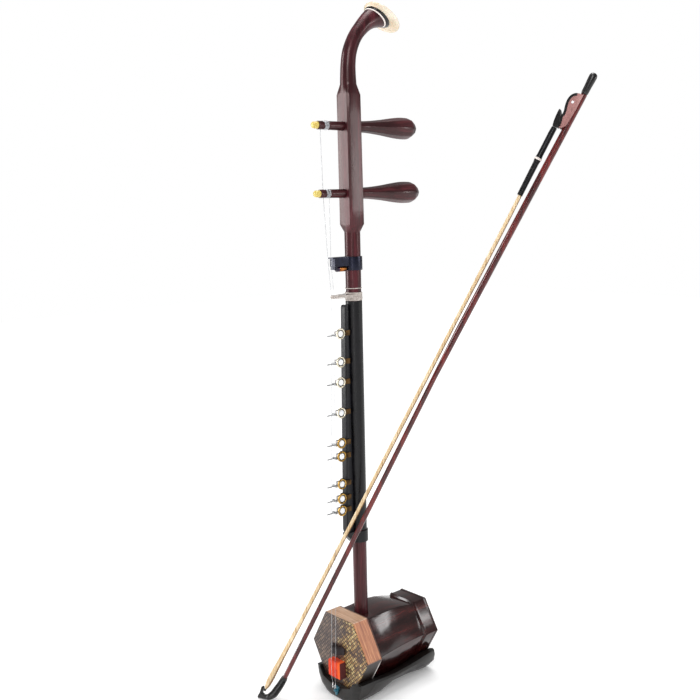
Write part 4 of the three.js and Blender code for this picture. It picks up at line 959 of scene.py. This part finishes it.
bm.free()
shade(pad, 60)

# ---------------------------------------------------------------- base, screw, hook
finished("base", "base", 0.8, 3, 38, 32)
finished("base_screw", "screw", 0.2, 2, 34)
# hook: a tapering bracket on the front lip with a nose under the string loops
finished("string_tail_hook", "blue", 0.5, 3, 40)

# ---------------------------------------------------------------- bow
T_ = Vector((-60.2, -106.5, 17.5))
X_ = Vector((0, -44.6, 181.6))
S_ = Vector((0, -53.6, 145.0))
D = (X_ - T_).normalized()
E = S_ - T_
E = (E - D * E.dot(D)).normalized()
NN = D.cross(E)


def bw(s, e, n=0.0):
    return T_ + D * s + E * e + NN * n


STICK = [
    [-11.5, 8.2, 2.3], [-3.5, 11.9, 3.0], [10, 14.0, 3.1], [24, 15.0, 2.9], [44, 14.7, 2.9], [70, 14.1, 2.9], [120, 13.6, 2.9], [160, 13.1, 2.9],
    [220, 11.5, 3.0], [283, 10.0, 3.3], [330, 9.0, 3.4], [380, 8.4, 3.4], [440, 8.2, 3.4], [500, 8.4, 3.6], [560, 8.9, 3.75], [620, 10.0, 3.95],
    [680, 10.8, 4.0], [740, 11.1, 4.1], [770, 11.6, 4.15], [796, 12.1, 4.2],
]
finished("bow_stick", "bow", 0.0, 1, 40, 50)
finished("bow_tip_hook", "horn", 0.6, 3, 40)
finished("bow_frog", "frog", 0.18, 2, 40)
finished("frog_horn", "horn", 0.6, 3, 40)
finished("frog_screw_eye", "eye", 0.1, 2, 40)
finished("hair_sleeve", "black", 0.0, 1, 40, 50)
finished("bow_screw", "horn", 0.2, 2, 40, 50)


def bow_lathe(rows, seg=32):
    rr_ = []
    for s, e, r in rows:
        r = max(r, 0.02)
        rr_.append([tuple(bw(s, e + r * math.cos(2 * math.pi * k / seg), r * math.sin(2 * math.pi * k / seg))) for k in range(seg)])
    return rr_


# wrapping: a thread-bound sheath over the curved end of the stick
wr = spline([[-14.2, 5.2, 1.6], [-13.0, 6.5, 2.9], [-11.0, 7.9, 3.6], [-7.5, 10.0, 4.2], [-3.5, 11.9, 4.55], [4, 13.1, 4.6], [10, 14.0, 4.4], [16, 14.5, 4.15], [21, 14.75, 3.9], [23.6, 14.9, 3.45]], 110)
rr = []
for i in range(len(wr)):
    p_, q_ = wr[max(0, i - 1)], wr[min(len(wr) - 1, i + 1)]
    tv = Vector((q_[0] - p_[0], q_[1] - p_[1], 0)).normalized()
    r = wr[i][2] * (1 + 0.028 * math.cos(i * math.pi))
    rr.append([tuple(bw(wr[i][0] - tv.y * r * math.cos(2 * math.pi * k / 32), wr[i][1] + tv.x * r * math.cos(2 * math.pi * k / 32), r * math.sin(2 * math.pi * k / 32))) for k in range(32)])
b = Build()
b.loft(rr)
b.piece("tip_binding", ["horn"], "bow", "horn_black", ["bow_tip_wrap"], 60)
# black band round the hump of the frog: painted shade standing for the frog's shaded edge
hump = spline([[752.9, 5.6, 0], [754.2, 4.1, 0], [757, 3.7, 0], [761, 2.8, 0], [764.8, 2.0, 0], [767.4, 2.8, 0], [770.8, 2.7, 0], [776, 1.3, 0], [780.4, 0.4, 0], [785.2, 0.3, 0], [789.4, 1.6, 0], [792.6, 4.6, 0], [793.7, 7.2, 0]], 60)
rr = []
for i in range(len(hump)):
    p_, q_ = hump[max(0, i - 1)], hump[min(len(hump) - 1, i + 1)]
    tv = Vector((q_[0] - p_[0], q_[1] - p_[1], 0)).normalized()
    sec = [(-0.55, -5.15), (-0.55, 5.15), (-0.35, 5.5), (0.25, 5.7), (2.3, 5.7), (2.6, 5.35), (2.6, -5.35), (2.3, -5.7), (0.25, -5.7), (-0.35, -5.5)]
    rr.append([tuple(bw(hump[i][0] - tv.y * o_, hump[i][1] + tv.x * o_, n_)) for o_, n_ in sec])
b = Build()
b.loft(rr)
b.piece("frog_edge_painted_shade", ["horn"], "frog", "horn_black", (), 40)


# hair: separate strands in a flat ribbon
lvl = Vector((D.y, -D.x, 0)).normalized()
me_, mn_ = lvl.dot(E), lvl.dot(NN)
rng = np.random.default_rng(7)
b = Build()
NS = 130
sta = [-8.5, -5.5, -2.5, 1.5, 6, 12, 20, 30, 42, 58, 80, 120, 180, 250, 330, 410, 490, 570, 645, 690]
hwt = [0.5, 0.8, 2.2, 3.3, 3.7, 3.8, 3.6, 3.3, 3.0, 2.75, 2.5, 2.3, 2.25, 2.2, 2.2, 2.2, 2.2, 2.2, 2.1, 1.9]
cen = [-1.0, -1.0, -1.0, -1.1, -1.2, -1.1, -1.0, -0.8, -0.6, -0.4, -0.2, -0.1, 0, 0, 0, 0, 0, 0, 0, -0.3]
for k in range(NS):
    w0 = rng.uniform(-1, 1)
    t0 = rng.uniform(-1, 1)
    fr = rng.uniform(-1, 1)
    ph = rng.uniform(0, 6.28)
    rad = rng.uniform(0.11, 0.18)
    pts = []
    for s, hw, ce in zip(sta, hwt, cen):
        w = w0 * hw + 0.14 * math.sin(ph + s * 0.021)
        t = t0 * 0.55 * math.sqrt(max(0.0, 1 - w0 * w0 * 0.8)) + 0.05 * math.sin(ph * 2 + s * 0.033)
        fl = 0.5 * fr * max(0.0, 1 - abs(s - 12) / 40) ** 2
        # near the tip the ribbon turns so that it spreads away from and towards the stick
        q = max(0.0, min(1.0, (110 - s) / 90))
        e = (w * -mn_ + t * me_) * (1 - q) + (w * 0.92 + t * 0.2) * q + fl + ce
        n = (w * me_ + t * mn_) * (1 - q) + (t * 1.1 + w * me_ * 0.25) * q
        pts.append(tuple(bw(s, e, n)))
    # strands on one edge of the ribbon (w0 > 0.55) take the darker hair, painted shade on that side of the bundle
    b.loft(tube_rings(pts, rad, 4, (0.3, 0.9, 0.2)), 1 if w0 > 0.55 else 0)
b.piece("hair_strands", ["hair", "hair_painted_shade"], "bow", "bow_hair", ["bow_hair"], 80)
# thread that ties the hair behind the tip, a pale ring on the sleeve, and the pearl eye on each side of the frog
b = Build()
for k in range(5):
    s = -7.8 + k * 0.55
    pts = [tuple(bw(s, 1.15 * math.cos(2 * math.pi * i / 20) - 1.0, 1.15 * math.sin(2 * math.pi * i / 20))) for i in range(20)]
    b.loft(tube_rings(pts, 0.3, 6, tuple(D)), 0, closed=True)
b.piece("hair_tie", ["horn"], "bow", "horn_black", (), 60)
b = Build()
for k in range(3):
    s = 712.1 + k * 0.75
    pts = [tuple(bw(s, 3.95 * math.cos(2 * math.pi * i / 32) - 1.0, 3.95 * math.sin(2 * math.pi * i / 32))) for i in range(32)]
    b.loft(tube_rings(pts, 0.42, 8, tuple(D)), 0, closed=True)
b.piece("sleeve_ring", ["white"], "frog", "inlay_white", (), 60)
for sgn, nm in ((1, "a"), (-1, "b")):
    b = Build()
    rr = []
    for r, h in [[1.55, 0.0], [1.5, 0.22], [1.1, 0.42], [0.6, 0.52], [0.05, 0.56]]:
        rr.append([tuple(bw(783.3 + r * math.cos(2 * math.pi * k / 28), 6.9 + r * math.sin(2 * math.pi * k / 28), sgn * (5.2 + h))) for k in range(28)])
    b.loft(rr)
    b.piece("frog_pearl_" + nm, ["pearl"], "frog", "inlay_white", (), 60)

# string end loops over the hook
for side, nm in ((-1, "inner"), (1, "outer")):
    b = Build()
    pts = [(side * 2.2 + 1.1 * math.cos(2 * math.pi * i / 24), -50.3 - 0.25 * math.cos(2 * math.pi * i / 24), 18.3 + 1.7 * math.sin(2 * math.pi * i / 24)) for i in range(24)]
    b.loft(tube_rings(pts, 0.32, 8, (0, 1, 0)), closed=True)
    for j in range(4):
        zc = 20.3 + j * 0.62
        ring = [(side * 2.22 + 0.55 * math.cos(2 * math.pi * i / 14), -49.7 - 0.02 * j + 0.55 * math.sin(2 * math.pi * i / 14), zc) for i in range(14)]
        b.loft(tube_rings(ring, 0.3, 6, (0, 0, 1)), closed=True)
    b.piece(nm + "_string_loop", ["steel"], "instrument", "string_steel", (), 60)

# list the CAD nodes that are still shown
LEFT = {}
for nm, o in frame["nodes"].items():
    if not o.hide_render:
        LEFT[nm] = o
print("CAD nodes still shown:", sorted(LEFT))

# ---------------------------------------------------------------- floor, light, camera
fl = bpy.data.meshes.new("floor")
g = 24
fv = [((i / g - 0.5) * 9, (j / g - 0.5) * 9, 0.0) for i in range(g + 1) for j in range(g + 1)]
ff = [(i * (g + 1) + j, (i + 1) * (g + 1) + j, (i + 1) * (g + 1) + j + 1, i * (g + 1) + j + 1) for i in range(g) for j in range(g)]
fl.from_pydata(fv, [], ff)
floor = bpy.data.objects.new("floor", fl)
bpy.context.scene.collection.objects.link(floor)
fm = Mat("floor_pale", Roughness=0.7)
fm.color(fm.ramp(fm.noise(fm.coords((3, 3, 3)), 1.0, 3, 0.5), [(0.3, (0.9, 0.9, 0.9)), (0.7, (0.93, 0.93, 0.93))]))
gx = fm.node("ShaderNodeVectorMath", operation="LENGTH")
fm.link(fm.tc.outputs["Object"], gx.inputs[0])
fm.link(fm.range(gx.outputs["Value"], 0.35, 3.2, 0.12, 0.9), fm.p.inputs["Emission Strength"])
fm.p.inputs["Emission Color"].default_value = (1.0, 1.0, 1.0, 1)
fl.materials.append(fm.m)

bpy.context.scene.view_settings.view_transform = "Standard"
world = bpy.data.worlds.new("studio")
bpy.context.scene.world = world
world.use_nodes = True
bg = world.node_tree.nodes.get("Background") or world.node_tree.nodes.new("ShaderNodeBackground")
bg.inputs["Color"].default_value = (1.0, 1.0, 1.0, 1)
bg.inputs["Strength"].default_value = 0.34
wt = world.node_tree
bg2 = wt.nodes.new("ShaderNodeBackground")
bg2.inputs["Color"].default_value = (1.0, 1.0, 1.0, 1)
bg2.inputs["Strength"].default_value = 1.0
lp = wt.nodes.new("ShaderNodeLightPath")
mx = wt.nodes.new("ShaderNodeMixShader")
out_ = next(n for n in wt.nodes if n.type == "OUTPUT_WORLD")
wt.links.new(lp.outputs["Is Camera Ray"], mx.inputs[0])
wt.links.new(bg.outputs[0], mx.inputs[1])
wt.links.new(bg2.outputs[0], mx.inputs[2])
wt.links.new(mx.outputs[0], out_.inputs["Surface"])


def area(name, loc, aim, size, power, size_y=None):
    l = bpy.data.lights.new(name, "AREA")
    l.energy = power
    l.size = size
    if size_y:
        l.shape = "RECTANGLE"
        l.size_y = size_y
    o = bpy.data.objects.new(name, l)
    o.location = loc
    o.rotation_euler = (Vector(aim) - Vector(loc)).to_track_quat("-Z", "Y").to_euler()
    bpy.context.scene.collection.objects.link(o)
    return o


area("key", (-1.35, -1.25, 0.85), (0, 0, 0.45), 0.4, 22, 1.6)
area("edge", (1.02, -1.32, 0.62), (0, 0, 0.62), 0.08, 2.2, 0.9)
area("side", (1.32, 1.15, 0.62), (0, 0, 0.62), 0.09, 1.0, 0.42)
area("window", (1.12, 0.98, 0.72), (0.03, 0.0, 0.085), 0.24, 3.2, 0.42)
area("fill", (1.5, -1.6, 1.9), (0, 0, 0.4), 0.8, 26, 1.2)
area("top", (0.0, 0.3, 2.4), (0, 0, 0.2), 1.2, 34)

cam = bpy.data.cameras.new("camera")
cam.lens = 49.63
cam.sensor_width = 36.0
cam.clip_start = 0.01
co = bpy.data.objects.new("camera", cam)
co.matrix_world = Matrix((
    (0.660738, -0.093193, 0.744810, 0.85898),
    (0.750100, 0.118820, -0.650564, -0.78101),
    (-0.027871, 0.988532, 0.148413, 0.60336),
    (0, 0, 0, 1),
))
bpy.context.scene.collection.objects.link(co)
bpy.context.scene.camera = co

bpy.context.view_layer.update()
